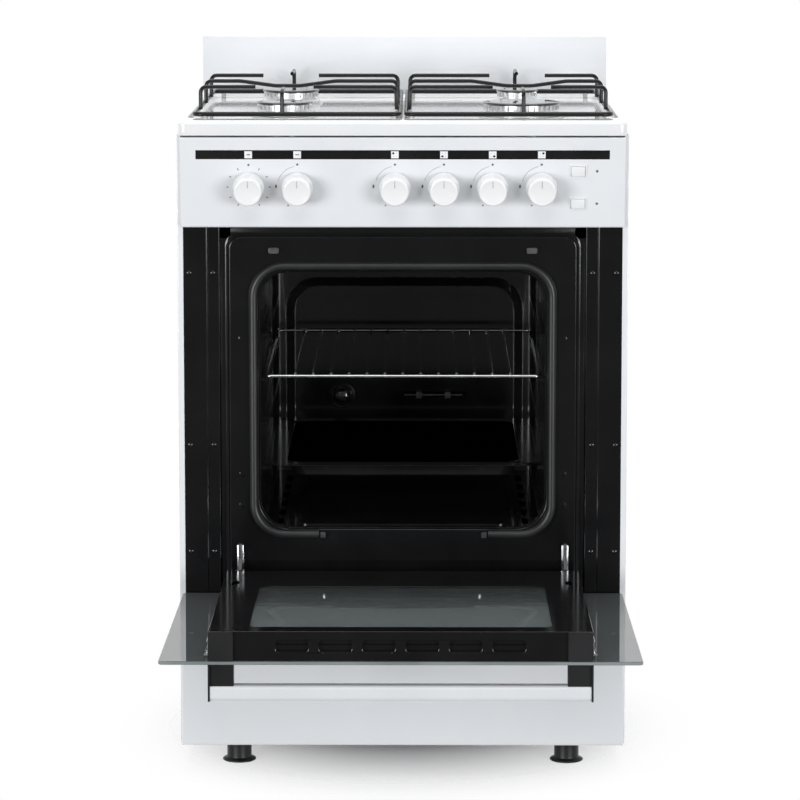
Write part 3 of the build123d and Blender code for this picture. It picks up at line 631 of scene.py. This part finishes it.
# ---------------------------------------------------------------- control fascia
KNOB_Z = 726.8
BAND_Z = 766.5
BUTTON_Z = {"lamp": 746.4, "ignition": 706.6}
TIMER_X = -186.3
OVEN_X = -127.2
HOB_X = {"rear_left": -9.3, "front_left": 49.9, "front_right": 108.7, "rear_right": 167.9}
ALL_KNOB_X = [TIMER_X, OVEN_X, *HOB_X.values()]


def on_fascia(x, z):
    """A frame on the leaning fascia's face: X right, Y up the face, Z out."""
    depth = -20 - (z - 677) * math.tan(FRONT_LEAN)
    return facing(at(x, depth, z), FRONT_LEAN)


def knob(name, body, x):
    """Round knob: thin skirt, plain tapered grip, dished face and a grey line laid in it."""
    bm = bmesh.new()
    profile = [
        (6.5, 3.7), (18.2, 3.7), (18.8, 4.2), (18.8, 6), (18.3, 6.6), (17.9, 6.9), (17.5, 8), (17.2, 22),
        (17, 28), (16.6, 29.3), (15.6, 29.95), (14.6, 29.9), (13.6, 29.5), (0, 29.3),
    ]
    turn(bm, profile, Matrix.Identity(4), steps=96)
    place = on_fascia(x, KNOB_Z)
    make_piece(
        name + "_grip", bm, KNOB_WHITE, body=body, stands_for=[name],
        place=place, smooth=40,
    )
    line = bmesh.new()
    fit_cube(line, (-0.5 * MM, 5.5 * MM, 29 * MM), (0.5 * MM, 15 * MM, 29.75 * MM))
    soften(line, 0.2 * MM, 2)
    make_piece(name + "_line", line, GROOVE_GREY, body=body, place=place)


def fascia_prints():
    """Printed band, icon fields, scales and marks on the fascia."""
    band = bmesh.new()
    skin = 0.12 * MM
    place = on_fascia(0, BAND_Z)
    fit_cube(band, (-250 * MM, -5.6 * MM, -0.3 * MM), (250 * MM, 5.6 * MM, skin))
    make_piece("fascia_band", band, PRINT_BLACK, place=place)
    fields = bmesh.new()
    marks = bmesh.new()
    for index, x in enumerate(ALL_KNOB_X):
        home = on_fascia(x, BAND_Z)
        square = fit_cube(fields, (-4.6 * MM, -4.4 * MM, 0), (4.6 * MM, 4.4 * MM, 0.2 * MM))
        bmesh.ops.transform(fields, matrix=home, verts=square)
        icon_marks(marks, home, index)
    make_piece("fascia_icon_fields", fields, PRINT_WHITE)
    make_piece("fascia_icons", marks, PRINT_BLACK)
    scale = bmesh.new()
    for step in range(1, 12):
        angle = math.radians(90 - 30 * step)
        if step == 6:
            continue
        dot(scale, TIMER_X, 25.5, angle, 0.55, 1.6)
    dot(scale, TIMER_X, 27.5, math.radians(90), 1.3, 1.3)
    for x in ALL_KNOB_X[1:]:
        dot(scale, x, 28, math.radians(90), 1.4, 1.4)
        dot(scale, x, 26, math.radians(178), 2.3, 1.2)
        dot(scale, x, 25.5, math.radians(243), 1.0, 1.0)
        for step in range(30):
            dot(scale, x, 25.8 - step * 0.05, math.radians(100 + step * 2.1), 0.46, 0.22)
    for z in BUTTON_Z.values():
        home = on_fascia(235, z)
        verts = fit_cube(scale, (-1.4 * MM, -1.4 * MM, -0.2 * MM), (1.4 * MM, 1.4 * MM, skin))
        bmesh.ops.transform(scale, matrix=home @ Matrix.Rotation(math.pi / 4, 4, "Z"), verts=verts)
    make_piece("fascia_scale_marks", scale, PRINT_GREY)


def dot(bm, x, reach, angle, half_u, half_v):
    """A small printed mark round a knob, at a distance and angle from its axis."""
    place = on_fascia(x, KNOB_Z) @ Matrix.Rotation(angle, 4, "Z") @ Matrix.Translation((reach * MM, 0, 0))
    verts = bmesh.ops.create_cone(
        bm, cap_ends=True, segments=12, radius1=1, radius2=1, depth=0.3 * MM,
        matrix=Matrix.Diagonal((half_v * MM, half_u * MM, 1, 1)),
    )["verts"]
    bmesh.ops.transform(bm, matrix=place, verts=verts)


def icon_marks(bm, home, index):
    """Generic icon: four dots with the knob's own burner larger, or a plain bar for timer and oven."""
    lift = Matrix.Translation((0, 0, 0.22 * MM))
    if index < 2:
        verts = fit_cube(bm, (-2.2 * MM, -0.5 * MM, -0.1 * MM), (2.2 * MM, 0.5 * MM, 0.06 * MM))
        bmesh.ops.transform(bm, matrix=home @ lift, verts=verts)
        return
    chosen = {2: (-1, 1), 3: (-1, -1), 4: (1, -1), 5: (1, 1)}[index]
    for corner in ((-1, -1), (-1, 1), (1, 1), (1, -1)):
        radius = 1.35 if corner == chosen else 0.3
        spot = Matrix.Translation((corner[0] * 1.9 * MM, corner[1] * 1.9 * MM, 0))
        verts = bmesh.ops.create_cone(
            bm, cap_ends=True, segments=14, radius1=radius * MM, radius2=radius * MM, depth=0.12 * MM,
        )["verts"]
        bmesh.ops.transform(bm, matrix=home @ lift @ spot, verts=verts)


def buttons():
    """The white caps of the two push buttons."""
    for name, z in BUTTON_Z.items():
        bm = bmesh.new()
        fit_cube(bm, (-8.5 * MM, -6 * MM, -8 * MM), (8.5 * MM, 6 * MM, 3.3 * MM))
        soften(bm, 1.1 * MM, 3)
        make_piece(
            f"{name}_button_cap", bm, BUTTON_WHITE, body=f"{name}_button", stands_for=[f"button_{name}"],
            place=on_fascia(212, z))


# ---------------------------------------------------------------- oven front and cavity
MOUTH_Z = 461.5


def oven_front():
    """Black front plate: thin rim strips, raised face with a soft step, and the rounded oven mouth."""
    bm = bmesh.new()
    face_x, face_top, face_low = 213, 664, frame_low.z / MM
    middle = (face_top + face_low) / 2
    half = (face_top - face_low) / 2
    place = facing(at(0, 0, middle))
    rings = loft(bm, place, [
        (face_x * MM + 4 * MM, half * MM + 4 * MM, 16 * MM, -4 * MM),
        (face_x * MM + 0.8 * MM, half * MM + 0.8 * MM, 14.5 * MM, -3.2 * MM),
        (face_x * MM - 0.6 * MM, half * MM - 0.6 * MM, 13.5 * MM, -0.6 * MM),
        (face_x * MM - 2.2 * MM, half * MM - 2.2 * MM, 12 * MM, 0),
    ])
    mouth_place = facing(at(0, 0, MOUTH_Z))
    mouth = loft(bm, mouth_place, [
        (177.8 * MM, 161.3 * MM, 39.8 * MM, 0),
        (176.6 * MM, 160.1 * MM, 38.6 * MM, -0.5 * MM),
        (176 * MM, 159.5 * MM, 38 * MM, -2 * MM),
        (176 * MM, 159.5 * MM, 38 * MM, -14 * MM),
    ])
    flat_join(bm, rings[-1], mouth[0])
    low = frame_low.z
    bmesh.ops.bisect_plane(
        bm, geom=list(bm.verts) + list(bm.edges) + list(bm.faces), plane_co=(0, 0, low),
        plane_no=(0, 0, -1), clear_outer=True)
    even_shading(make_piece(
        "oven_front_face", bm, BLACK_ENAMEL, stands_for=["oven_front_frame"], smooth=50))
    plate = bmesh.new()
    edge = frame_high.x
    strips = [((-edge, FRONT + 4 * MM, low), (-edge + 14 * MM, FRONT + 5.2 * MM, frame_high.z)),
              ((edge - 14 * MM, FRONT + 4 * MM, low), (edge, FRONT + 5.2 * MM, frame_high.z)),
              ((-edge, FRONT + 4 * MM, (face_top - 3) * MM), (edge, FRONT + 5.2 * MM, frame_high.z)),
              ((-edge, FRONT + 5.2 * MM, frame_high.z - 1.2 * MM), (edge, FRONT + 40 * MM, frame_high.z))]
    for corners in strips:
        fit_cube(plate, *corners)
    soften(plate, 0.4 * MM, 2)
    make_piece("oven_front_rim", plate, BLACK_ENAMEL)
    dimples = bmesh.new()
    dome = [(0, 0.4), (2, 0.33), (3.4, 0.12), (4, 0)]
    for side in (-1, 1):
        for z in (538, 370, 331):
            turn(dimples, dome, facing(at(side * 197, 0, z)), steps=20)
    make_piece("oven_front_dimples", dimples, BLACK_ENAMEL)
    hinge_plates()


def hinge_plates():
    """Zinc hinge receivers showing in the front slots, with dark sheets painted as the shade in their
    windows, and a bright latch.
    """
    zinc = bmesh.new()
    dark = bmesh.new()
    for side in (-1, 1):
        x = side * 200
        fit_cube(zinc, at(x - 4, -0.7, 247), at(x + 4, 1.5, 281.6))
        # near-black sheets on the plate: painted shade in its windows
        for low, high in ((273.5, 277), (266, 270), (252, 263)):
            fit_cube(dark, at(x - side * 0.4 - 1.7, -0.95, low), at(x - side * 0.4 + 1.7, 0, high))
        fit_cube(zinc, at(x + side * 1.7 - 1.2, -2.2, 258), at(x + side * 1.7 + 1.2, -0.6, 271))
    soften(zinc, 0.5 * MM, 2)
    soften(dark, 0.3 * MM, 2)
    make_piece("hinge_slot_plates", zinc, ZINC)
    make_piece("hinge_slot_window_shade", dark, RECESS_SHADE)


def gasket():
    """Grey door seal: a domed section led round the mouth, open at the middle of the bottom."""
    middle_z = 461.8
    half_x, half_z = 182.75, 166
    depth = -3.6
    path = [
        at(-103, depth, middle_z - half_z),
        at(-half_x, depth, middle_z - half_z),
        at(-half_x, depth, middle_z + half_z),
        at(half_x, depth, middle_z + half_z),
        at(half_x, depth, middle_z - half_z),
        at(105, depth, middle_z - half_z),
    ]
    curve = bpy.data.curves.new("seal_section", "CURVE")
    curve.dimensions = "2D"
    outline = [
        (-5.4, -3.6), (-5.4, -1), (-4.4, 2.2), (-1.8, 4.2), (1.8, 4.2), (4.4, 2.2), (5.4, -1),
        (5.4, -3.6),
    ]
    spline = curve.splines.new("POLY")
    spline.points.add(len(outline) - 1)
    spline.use_cyclic_u = True
    for knot, (u, v) in zip(spline.points, outline):
        knot.co = (u * MM, v * MM, 0, 1)
    section = bpy.data.objects.new("seal_section", curve)
    bpy.context.scene.collection.objects.link(section)
    line = bend_points(path, 38 * MM, 14)
    lead = bpy.data.curves.new("seal_line", "CURVE")
    lead.dimensions = "3D"
    lead.twist_mode = "Z_UP"
    lead.bevel_mode = "OBJECT"
    lead.bevel_object = section
    lead.use_fill_caps = True
    spline = lead.splines.new("POLY")
    spline.points.add(len(line) - 1)
    for knot, point in zip(spline.points, line):
        flat = Vector((point.x, point.z, -point.y))
        knot.co = (*flat, 1)
    bm = bmesh.new()
    bm.from_mesh(curve_mesh(lead))
    stand_up = Matrix.Rotation(math.pi / 2, 4, "X")
    bpy.data.objects.remove(section)
    make_piece(
        "mouth_seal", bm, SEAL, stands_for=["door_gasket"], place=stand_up,
        smooth=60,
    )


def cavity():
    """Enamelled oven box: rounded mouth, squarer corners behind it, and a pressed panel in the back wall."""
    bm = bmesh.new()
    mouth_place = facing(at(0, 0, MOUTH_Z))
    place = facing(at(0, 0, 440.5))
    rings = loft(bm, mouth_place, [
        (176 * MM, 159.5 * MM, 38 * MM, -5.4 * MM),
        (176 * MM, 159.5 * MM, 38 * MM, -12 * MM),
    ])
    rings += loft(bm, place, [
        (176 * MM, 178.5 * MM, 16 * MM, -26 * MM),
        (176 * MM, 178.5 * MM, 12 * MM, -250 * MM),
        (176 * MM, 178.5 * MM, 12 * MM, -421 * MM),
        (173 * MM, 175.5 * MM, 10 * MM, -428.5 * MM),
        (166 * MM, 168.5 * MM, 8 * MM, -431 * MM),
    ])
    bmesh.ops.bridge_loops(bm, edges=rings[1] + rings[2])
    panel_place = facing(at(0, 0, 441))
    panel = loft(bm, panel_place, [
        (160 * MM, 124 * MM, 42 * MM, -431 * MM),
        (157.5 * MM, 121.5 * MM, 40 * MM, -432 * MM),
        (149 * MM, 113 * MM, 34 * MM, -437.5 * MM),
        (145 * MM, 109 * MM, 31 * MM, -439 * MM),
    ], close_last=True)
    flat_join(bm, rings[-1], panel[0])
    piece = make_piece(
        "oven_box_lining", bm, OVEN_ENAMEL, stands_for=["oven_liner"],
        smooth=50,
    )
    sheet_metal(piece, 1.1 * MM)


def lamp():
    """Oven lamp: glass dome in a metal ring, with its bulb."""
    wall = 439
    spot = facing(at(-84, wall, 403))
    ring = bmesh.new()
    profile = [(14.1, 0.2), (17.4, 0.2), (17.5, 3), (16.8, 5.2), (15.4, 6), (14.1, 5.6), (14.1, 0.2)]
    turn(ring, profile, spot, steps=48)
    # the lamp ring takes the darkened steel: painted shade
    make_piece("lamp_ring", ring, SHADED_STEEL)
    dome = bmesh.new()
    outside = [(13.9, 0.5), (13.9, 11), (12.6, 15), (9.2, 17.8), (4.6, 18.8), (0, 19)]
    turn(dome, outside, spot, steps=48)
    cover = make_piece("lamp_dome", dome, LAMP_GLASS, stands_for=["oven_lamp"], smooth=60)
    wall_mod = cover.modifiers.new("wall", "SOLIDIFY")
    wall_mod.thickness = 1.4 * MM
    wall_mod.offset = -1
    bulb = bmesh.new()
    envelope = [(0, 1), (4.5, 1), (4.5, 4), (6, 8), (5.2, 11.6), (2.6, 13.4), (0, 13.8)]
    turn(bulb, envelope, spot, steps=24)
    make_piece("lamp_bulb", bulb, LAMP_GLASS, smooth=60)


def rack():
    """Chromed wire rack: frame raised at the back, and thirteen rods."""
    height = 489.5
    raised = height + 7
    right_side = [at(168, 17, height), at(168, 374, height), at(168, 386, raised), at(168, 398, raised)]
    left_side = [at(-168, 398, raised), at(-168, 386, raised), at(-168, 374, height), at(-168, 17, height)]
    runs = [(right_side + left_side, 2.5 * MM, 5 * MM, True)]
    for step in range(-6, 7):
        x = step * 22
        rod = [
            at(x, 14.9, height + 3.4), at(x, 374, height + 3.4), at(x, 386, raised + 2),
            at(x, 399.2, raised + 2),
        ]
        runs.append((rod, 1.5 * MM, 5 * MM, False))
    wire_piece("rack_wires", runs, CHROME, body="rack", stands_for=["wire_rack"], sides=3)


def tray():
    """Enamelled baking tray: flat rim with a rolled edge, soft sloping walls and a flat well."""
    bm = bmesh.new()
    low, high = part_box("baking_tray")
    centre = (low + high) / 2
    place = Matrix.Translation((centre.x, centre.y, high.z))
    half_x, half_y = (high.x - low.x) / 2, (high.y - low.y) / 2
    loft(bm, place, [
        (half_x, half_y, 16 * MM, -1.2 * MM),
        (half_x, half_y, 16 * MM, -0.3 * MM),
        (half_x - 1 * MM, half_y - 1 * MM, 15 * MM, 0),
        (144 * MM, 164.5 * MM, 21 * MM, 0),
        (142 * MM, 162.5 * MM, 20 * MM, -0.9 * MM),
        (137.6 * MM, 158 * MM, 18 * MM, -16.5 * MM),
        (134 * MM, 154.5 * MM, 16 * MM, -19.6 * MM),
    ], close_last=True)
    piece = make_piece(
        "baking_tray_pressing", bm, OVEN_ENAMEL, body="tray", stands_for=["baking_tray"],
        smooth=55,
    )
    sheet_metal(piece, 0.9 * MM)


def column_screws():
    """Round screw heads on the two front columns, each with a dark cross painted as the shade in its cross
    recess, and hexagon heads on the back.
    """
    bm = bmesh.new()
    dark = bmesh.new()
    head = [(0, 1.4), (1.6, 1.25), (2.8, 0.7), (3.2, 0)]
    for side in (-1, 1):
        for x in (232, 261):
            for z in (273.6, 406.5, 619):
                spot = facing(at(side * x, 0, z))
                turn(bm, head, spot, steps=20)
                # dark cross bars: painted shade where the cross recess is
                for turned in (0.4, 0.4 + math.pi / 2):
                    verts = fit_cube(dark, (-1.5 * MM, -0.3 * MM, 0.7 * MM), (1.5 * MM, 0.3 * MM, 1.42 * MM))
                    bmesh.ops.transform(dark, matrix=spot @ Matrix.Rotation(turned, 4, "Z"), verts=verts)
    make_piece("column_screw_heads", bm, BLACK_ENAMEL, stands_for=["body_screws"])
    make_piece("column_screw_recess_shade", dark, RECESS_SHADE)
    rear = bmesh.new()
    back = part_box("rear_panel")[1].y
    for x in (-240, 240):
        for z in (60, 410, 770):
            spot = Matrix.Translation((x * MM, back, z * MM)) @ Matrix.Rotation(-math.pi / 2, 4, "X")
            verts = bmesh.ops.create_cone(
                rear, cap_ends=True, segments=6, radius1=4 * MM, radius2=3.7 * MM, depth=1.8 * MM)["verts"]
            bmesh.ops.transform(rear, matrix=spot @ Matrix.Translation((0, 0, 0.9 * MM)), verts=verts)
    make_piece("rear_screw_heads", rear, ZINC)


# ---------------------------------------------------------------- door
def door_parts():
    """Inner window with its mask and screws, the handle and the strip wires; modelled closed, then opened."""
    pane = bmesh.new()
    fit_cube(pane, at(-182, -14.5, 369), at(182, -10.6, 648))
    soften(pane, 0.5 * MM, 2)
    make_piece(
        "window_pane", pane, WINDOW_GLASS, body="door", stands_for=["door_inner_glass"],
        place=OPENED,
    )
    mask = bmesh.new()
    place = facing(at(0, 0, 508.5))
    middle = facing(at(0, 0, 540.5))
    rings = loft(mask, place, [(181 * MM, 139 * MM, 6 * MM, 15.4 * MM)])
    hole = loft(
        mask, middle,
        [(170.5 * MM, 69.5 * MM, 5 * MM, 15.4 * MM), (170.5 * MM, 69.5 * MM, 5 * MM, 15.7 * MM)],
    )
    flat_join(mask, rings[-1], hole[0])
    make_piece(
        "window_heat_shield", mask, BLACK_ENAMEL, body="door", place=OPENED,
        smooth=40,
    )
    screws = bmesh.new()
    head = [(0, 0.5), (0.8, 0.45), (1.3, 0.2), (1.3, 0)]
    for side in (-1, 1):
        turn(screws, head, facing(at(side * 92, -10.6, 425)), steps=16)
    pane_back = Matrix.Translation(at(0, -10.6, 0))
    flip = pane_back @ Matrix.Diagonal((1, -1, 1, 1)) @ pane_back.inverted()
    make_piece("window_screws", screws, ZINC, body="door", place=OPENED @ flip)
    outer_pane()
    louvre_hoods()
    bar = bmesh.new()
    fit_cube(bar, at(-213.4, -90, 642), at(213.4, -72, 662))
    round_edges(bar, edges_along(bar, 0), 5 * MM, 8)
    # the handle bar takes the darkened white enamel: painted shade
    make_piece(
        "handle_grip", bar, SHADED_HANDLE_ENAMEL, body="door", stands_for=["handle_bar"],
        place=OPENED, smooth=50,
    )
    for side, label in ((-1, "left"), (1, "right")):
        clip_line = []
        for step in range(7):
            swing = 1.6 if step % 2 else -1.6
            clip_line.append(at(side * (217.4 + swing * 0.6), -37.6 - swing, 628 + step * 5))
        edge_line = [at(side * 217, -24, 300), at(side * 217, -24, 652)]
        runs = [(clip_line, 0.8 * MM, 1.5 * MM, False), (edge_line, 0.7 * MM, 0, False)]
        wire_piece(f"strip_spring_{label}", runs, CHROME, body="door", place=OPENED, sides=2)


def outer_pane():
    """Smoked outer pane with its ground edge."""
    place = facing(at(0, 0, 453.5))
    half_x, half_z, corner = 270.5 * MM, 220.5 * MM, 5 * MM
    edge = 0.35 * MM
    near, far, small = 46 * MM, 42 * MM, 0.5 * MM
    pane = bmesh.new()
    loft(pane, place, [
        (half_x - edge, half_z - edge, corner - edge, near - small),
        (half_x - edge, half_z - edge, corner - edge, far + small),
        (half_x - edge - small, half_z - edge - small, corner - edge - small, far),
    ], close_last=True)
    loft(pane, place, [
        (half_x - edge, half_z - edge, corner - edge, near - small),
        (half_x - edge - small, half_z - edge - small, corner - edge - small, near),
    ], close_last=True)
    even_shading(make_piece(
        "outer_pane", pane, SMOKED_GLASS, body="door", stands_for=["door_outer_glass"],
        place=OPENED))
    rim = bmesh.new()
    rings = loft(rim, place, [
        (half_x - edge, half_z - edge, corner - edge, near - small), (half_x, half_z, corner, near - small),
        (half_x, half_z, corner, far + small), (half_x - edge, half_z - edge, corner - edge, far + small),
    ])
    bmesh.ops.bridge_loops(rim, edges=rings[-1] + rings[0])
    make_piece("outer_pane_edge", rim, GLASS_EDGE, body="door", place=OPENED)


def louvre_hoods():
    """A plain hood behind each of the six slots in the door's top edge."""
    hoods = bmesh.new()
    for step in range(6):
        x = (step - 2.5) * 48.5
        fit_cube(hoods, at(x - 20, -34.5, 662.4), at(x + 20, -17.5, 663))
        fit_cube(hoods, at(x - 18, -33, 663), at(x + 18, -31.6, 668.4))
        fit_cube(hoods, at(x - 18, -25.2, 663), at(x + 18, -24.6, 667.6))
    make_piece("louvre_hoods", hoods, BLACK_ENAMEL, body="door", place=OPENED)


def feet():
    """Levelling feet: wide pads on round columns."""
    bm = bmesh.new()
    profile = [
        (0, 0), (20, 0), (20.8, 0.6), (20.7, 1.8), (19.4, 2.8), (16.6, 3.6), (15.6, 4.6), (15.3, 6),
        (15.3, 33), (0, 33),
    ]
    for x in (-205, 205):
        for depth in (45, 442):
            turn(bm, profile, upright(x, depth, 0), steps=48)
    make_piece("foot_pads", bm, BLACK_PLASTIC, stands_for=["levelling_feet"])


# ---------------------------------------------------------------- finishes of the CAD nodes that stay
dress(WHITE_ENAMEL, "side_panel_left", "side_panel_right", edge=0.0006)
dress(WHITE_ENAMEL, "control_fascia", "drawer_front")
dress(BLACK_ENAMEL, "front_columns", "door_liner", edge=0.0005)
dress(OVEN_ENAMEL, "oven_floor_plate")
dress(WIRE_ENAMEL, "rack_guides")
dress(ZINC, "door_side_strips")
# these parts take the darkened steel: painted shade
dress(SHADED_STEEL, "hinge_arms", "door_hinge_cases", "door_catches", "gasket_clips", "thermostat_phial")
dress(
    GALVANISED, "base_pan", "rear_panel", "drawer_box", "drawer_runners", "gas_rail", "gas_inlet",
    "hob_gas_pipes",
)
dress(GALVANISED, "oven_burner_tube", "minute_timer", "tap_stems")
dress(ALLOY, "gas_taps")
dress(BRASS, "gas_injectors")
dress(BUTTON_WHITE, "button_bezels")
dress(BLACK_PLASTIC, "handle_brackets", "door_top_blocks", "switch_bodies", "ignition_module")
dress(WOOL, "oven_insulation")

hob()
upstand()
crowns()
caps()
cups()
electrodes()
pan_support(-1, "pan_support_left")
pan_support(1, "pan_support_right")
knob("knob_timer", "timer_knob", TIMER_X)
knob("knob_oven", "oven_knob", OVEN_X)
for burner, knob_x in HOB_X.items():
    knob(f"knob_{burner}", f"{burner}_knob", knob_x)
fascia_prints()
buttons()
oven_front()
gasket()
cavity()
lamp()
rack()
tray()
column_screws()
door_parts()
feet()


# ---------------------------------------------------------------- floor, light and camera
def floor_material():
    """Pale matt floor that fades out into the surround away from the range."""
    material = finish_material(
        "pale_floor", (0.9, 0.9, 0.905), (0.92, 0.92, 0.925), (0.6, 0.7), patch=3, grain=60, bump=0.01)
    nodes, links = material.node_tree.nodes, material.node_tree.links
    place = nodes.new("ShaderNodeTexCoord")
    reach = nodes.new("ShaderNodeVectorMath")
    reach.operation = "LENGTH"
    fade = nodes.new("ShaderNodeMapRange")
    fade.interpolation_type = "SMOOTHSTEP"
    fade.inputs["From Min"].default_value = 0.08
    fade.inputs["From Max"].default_value = 0.42
    clear = nodes.new("ShaderNodeBsdfTransparent")
    blend = nodes.new("ShaderNodeMixShader")
    output = next(node for node in nodes if node.type == "OUTPUT_MATERIAL")
    solid = output.inputs["Surface"].links[0].from_socket
    links.new(place.outputs["Object"], reach.inputs[0])
    links.new(reach.outputs["Value"], fade.inputs["Value"])
    links.new(fade.outputs["Result"], blend.inputs["Fac"])
    links.new(solid, blend.inputs[1])
    links.new(clear.outputs["BSDF"], blend.inputs[2])
    links.new(blend.outputs["Shader"], output.inputs["Surface"])
    return material


def studio():
    """Plain pale floor, and a pale surround that is dim towards the front."""
    bm = bmesh.new()
    bmesh.ops.create_circle(bm, cap_ends=True, segments=96, radius=1.9)
    mesh = bpy.data.meshes.new("floor")
    bm.to_mesh(mesh)
    bm.free()
    floor = bpy.data.objects.new("floor", mesh)
    floor.location = (0, 0.2, 0)
    mesh.materials.append(floor_material())
    bpy.context.scene.collection.objects.link(floor)
    world = bpy.data.worlds.new("studio")
    bpy.context.scene.world = world
    world.use_nodes = True
    nodes, links = world.node_tree.nodes, world.node_tree.links
    background = nodes["Background"]
    place = nodes.new("ShaderNodeTexCoord")
    split = nodes.new("ShaderNodeSeparateXYZ")
    ramp = nodes.new("ShaderNodeMapRange")
    ramp.inputs["From Min"].default_value = -0.55
    ramp.inputs["From Max"].default_value = 0.35
    ramp.inputs["To Min"].default_value = 0.16
    ramp.inputs["To Max"].default_value = 1.0
    path = nodes.new("ShaderNodeLightPath")
    pick = nodes.new("ShaderNodeMix")
    pick.inputs["B"].default_value = 1.0
    links.new(place.outputs["Generated"], split.inputs["Vector"])
    links.new(split.outputs["Y"], ramp.inputs["Value"])
    links.new(path.outputs["Is Camera Ray"], pick.inputs["Factor"])
    links.new(ramp.outputs["Result"], pick.inputs["A"])
    links.new(pick.outputs["Result"], background.inputs["Strength"])
    background.inputs["Color"].default_value = (1, 1, 1, 1)


def area_light(name, spot, target, size, power, colour=(1, 1, 1)):
    """A soft rectangular light aimed at a point."""
    data = bpy.data.lights.new(name, "AREA")
    data.energy = power
    data.color = colour
    data.shape = "RECTANGLE"
    data.size, data.size_y = size
    lamp_object = bpy.data.objects.new(name, data)
    lamp_object.location = spot
    lamp_object.rotation_euler = (Vector(target) - Vector(spot)).to_track_quat("-Z", "Y").to_euler()
    bpy.context.scene.collection.objects.link(lamp_object)


def camera():
    """Camera in front of the range, higher than its hob, looking slightly down."""
    data = bpy.data.cameras.new("view")
    data.sensor_width = 36
    data.lens = 164.62
    data.shift_y = -0.08
    thing = bpy.data.objects.new("view", data)
    pitch = math.radians(90 - 7.576)
    yaw = math.radians(0.344)
    thing.location = at(23.3, -4435.8, 1131.6)
    thing.rotation_euler = (pitch, 0, yaw)
    bpy.context.scene.collection.objects.link(thing)
    bpy.context.scene.camera = thing


studio()
area_light("key", (-2.8, -4.0, 0.8), (0, 0, 0.35), (2.2, 1.4), 118, (0.985, 0.992, 1.0))
area_light("fill", (2.8, -4.0, 0.8), (0, 0, 0.35), (2.2, 1.4), 106, (0.97, 0.985, 1.0))
area_light("over", (0, -3.2, 3.4), (0, 0, 0.6), (2.4, 1.2), 30)
area_light("top", (0, 0.4, 3.0), (0, 0.2, 0.8), (2.6, 2.0), 46)
camera()
bpy.context.scene.view_settings.view_transform = "Standard"
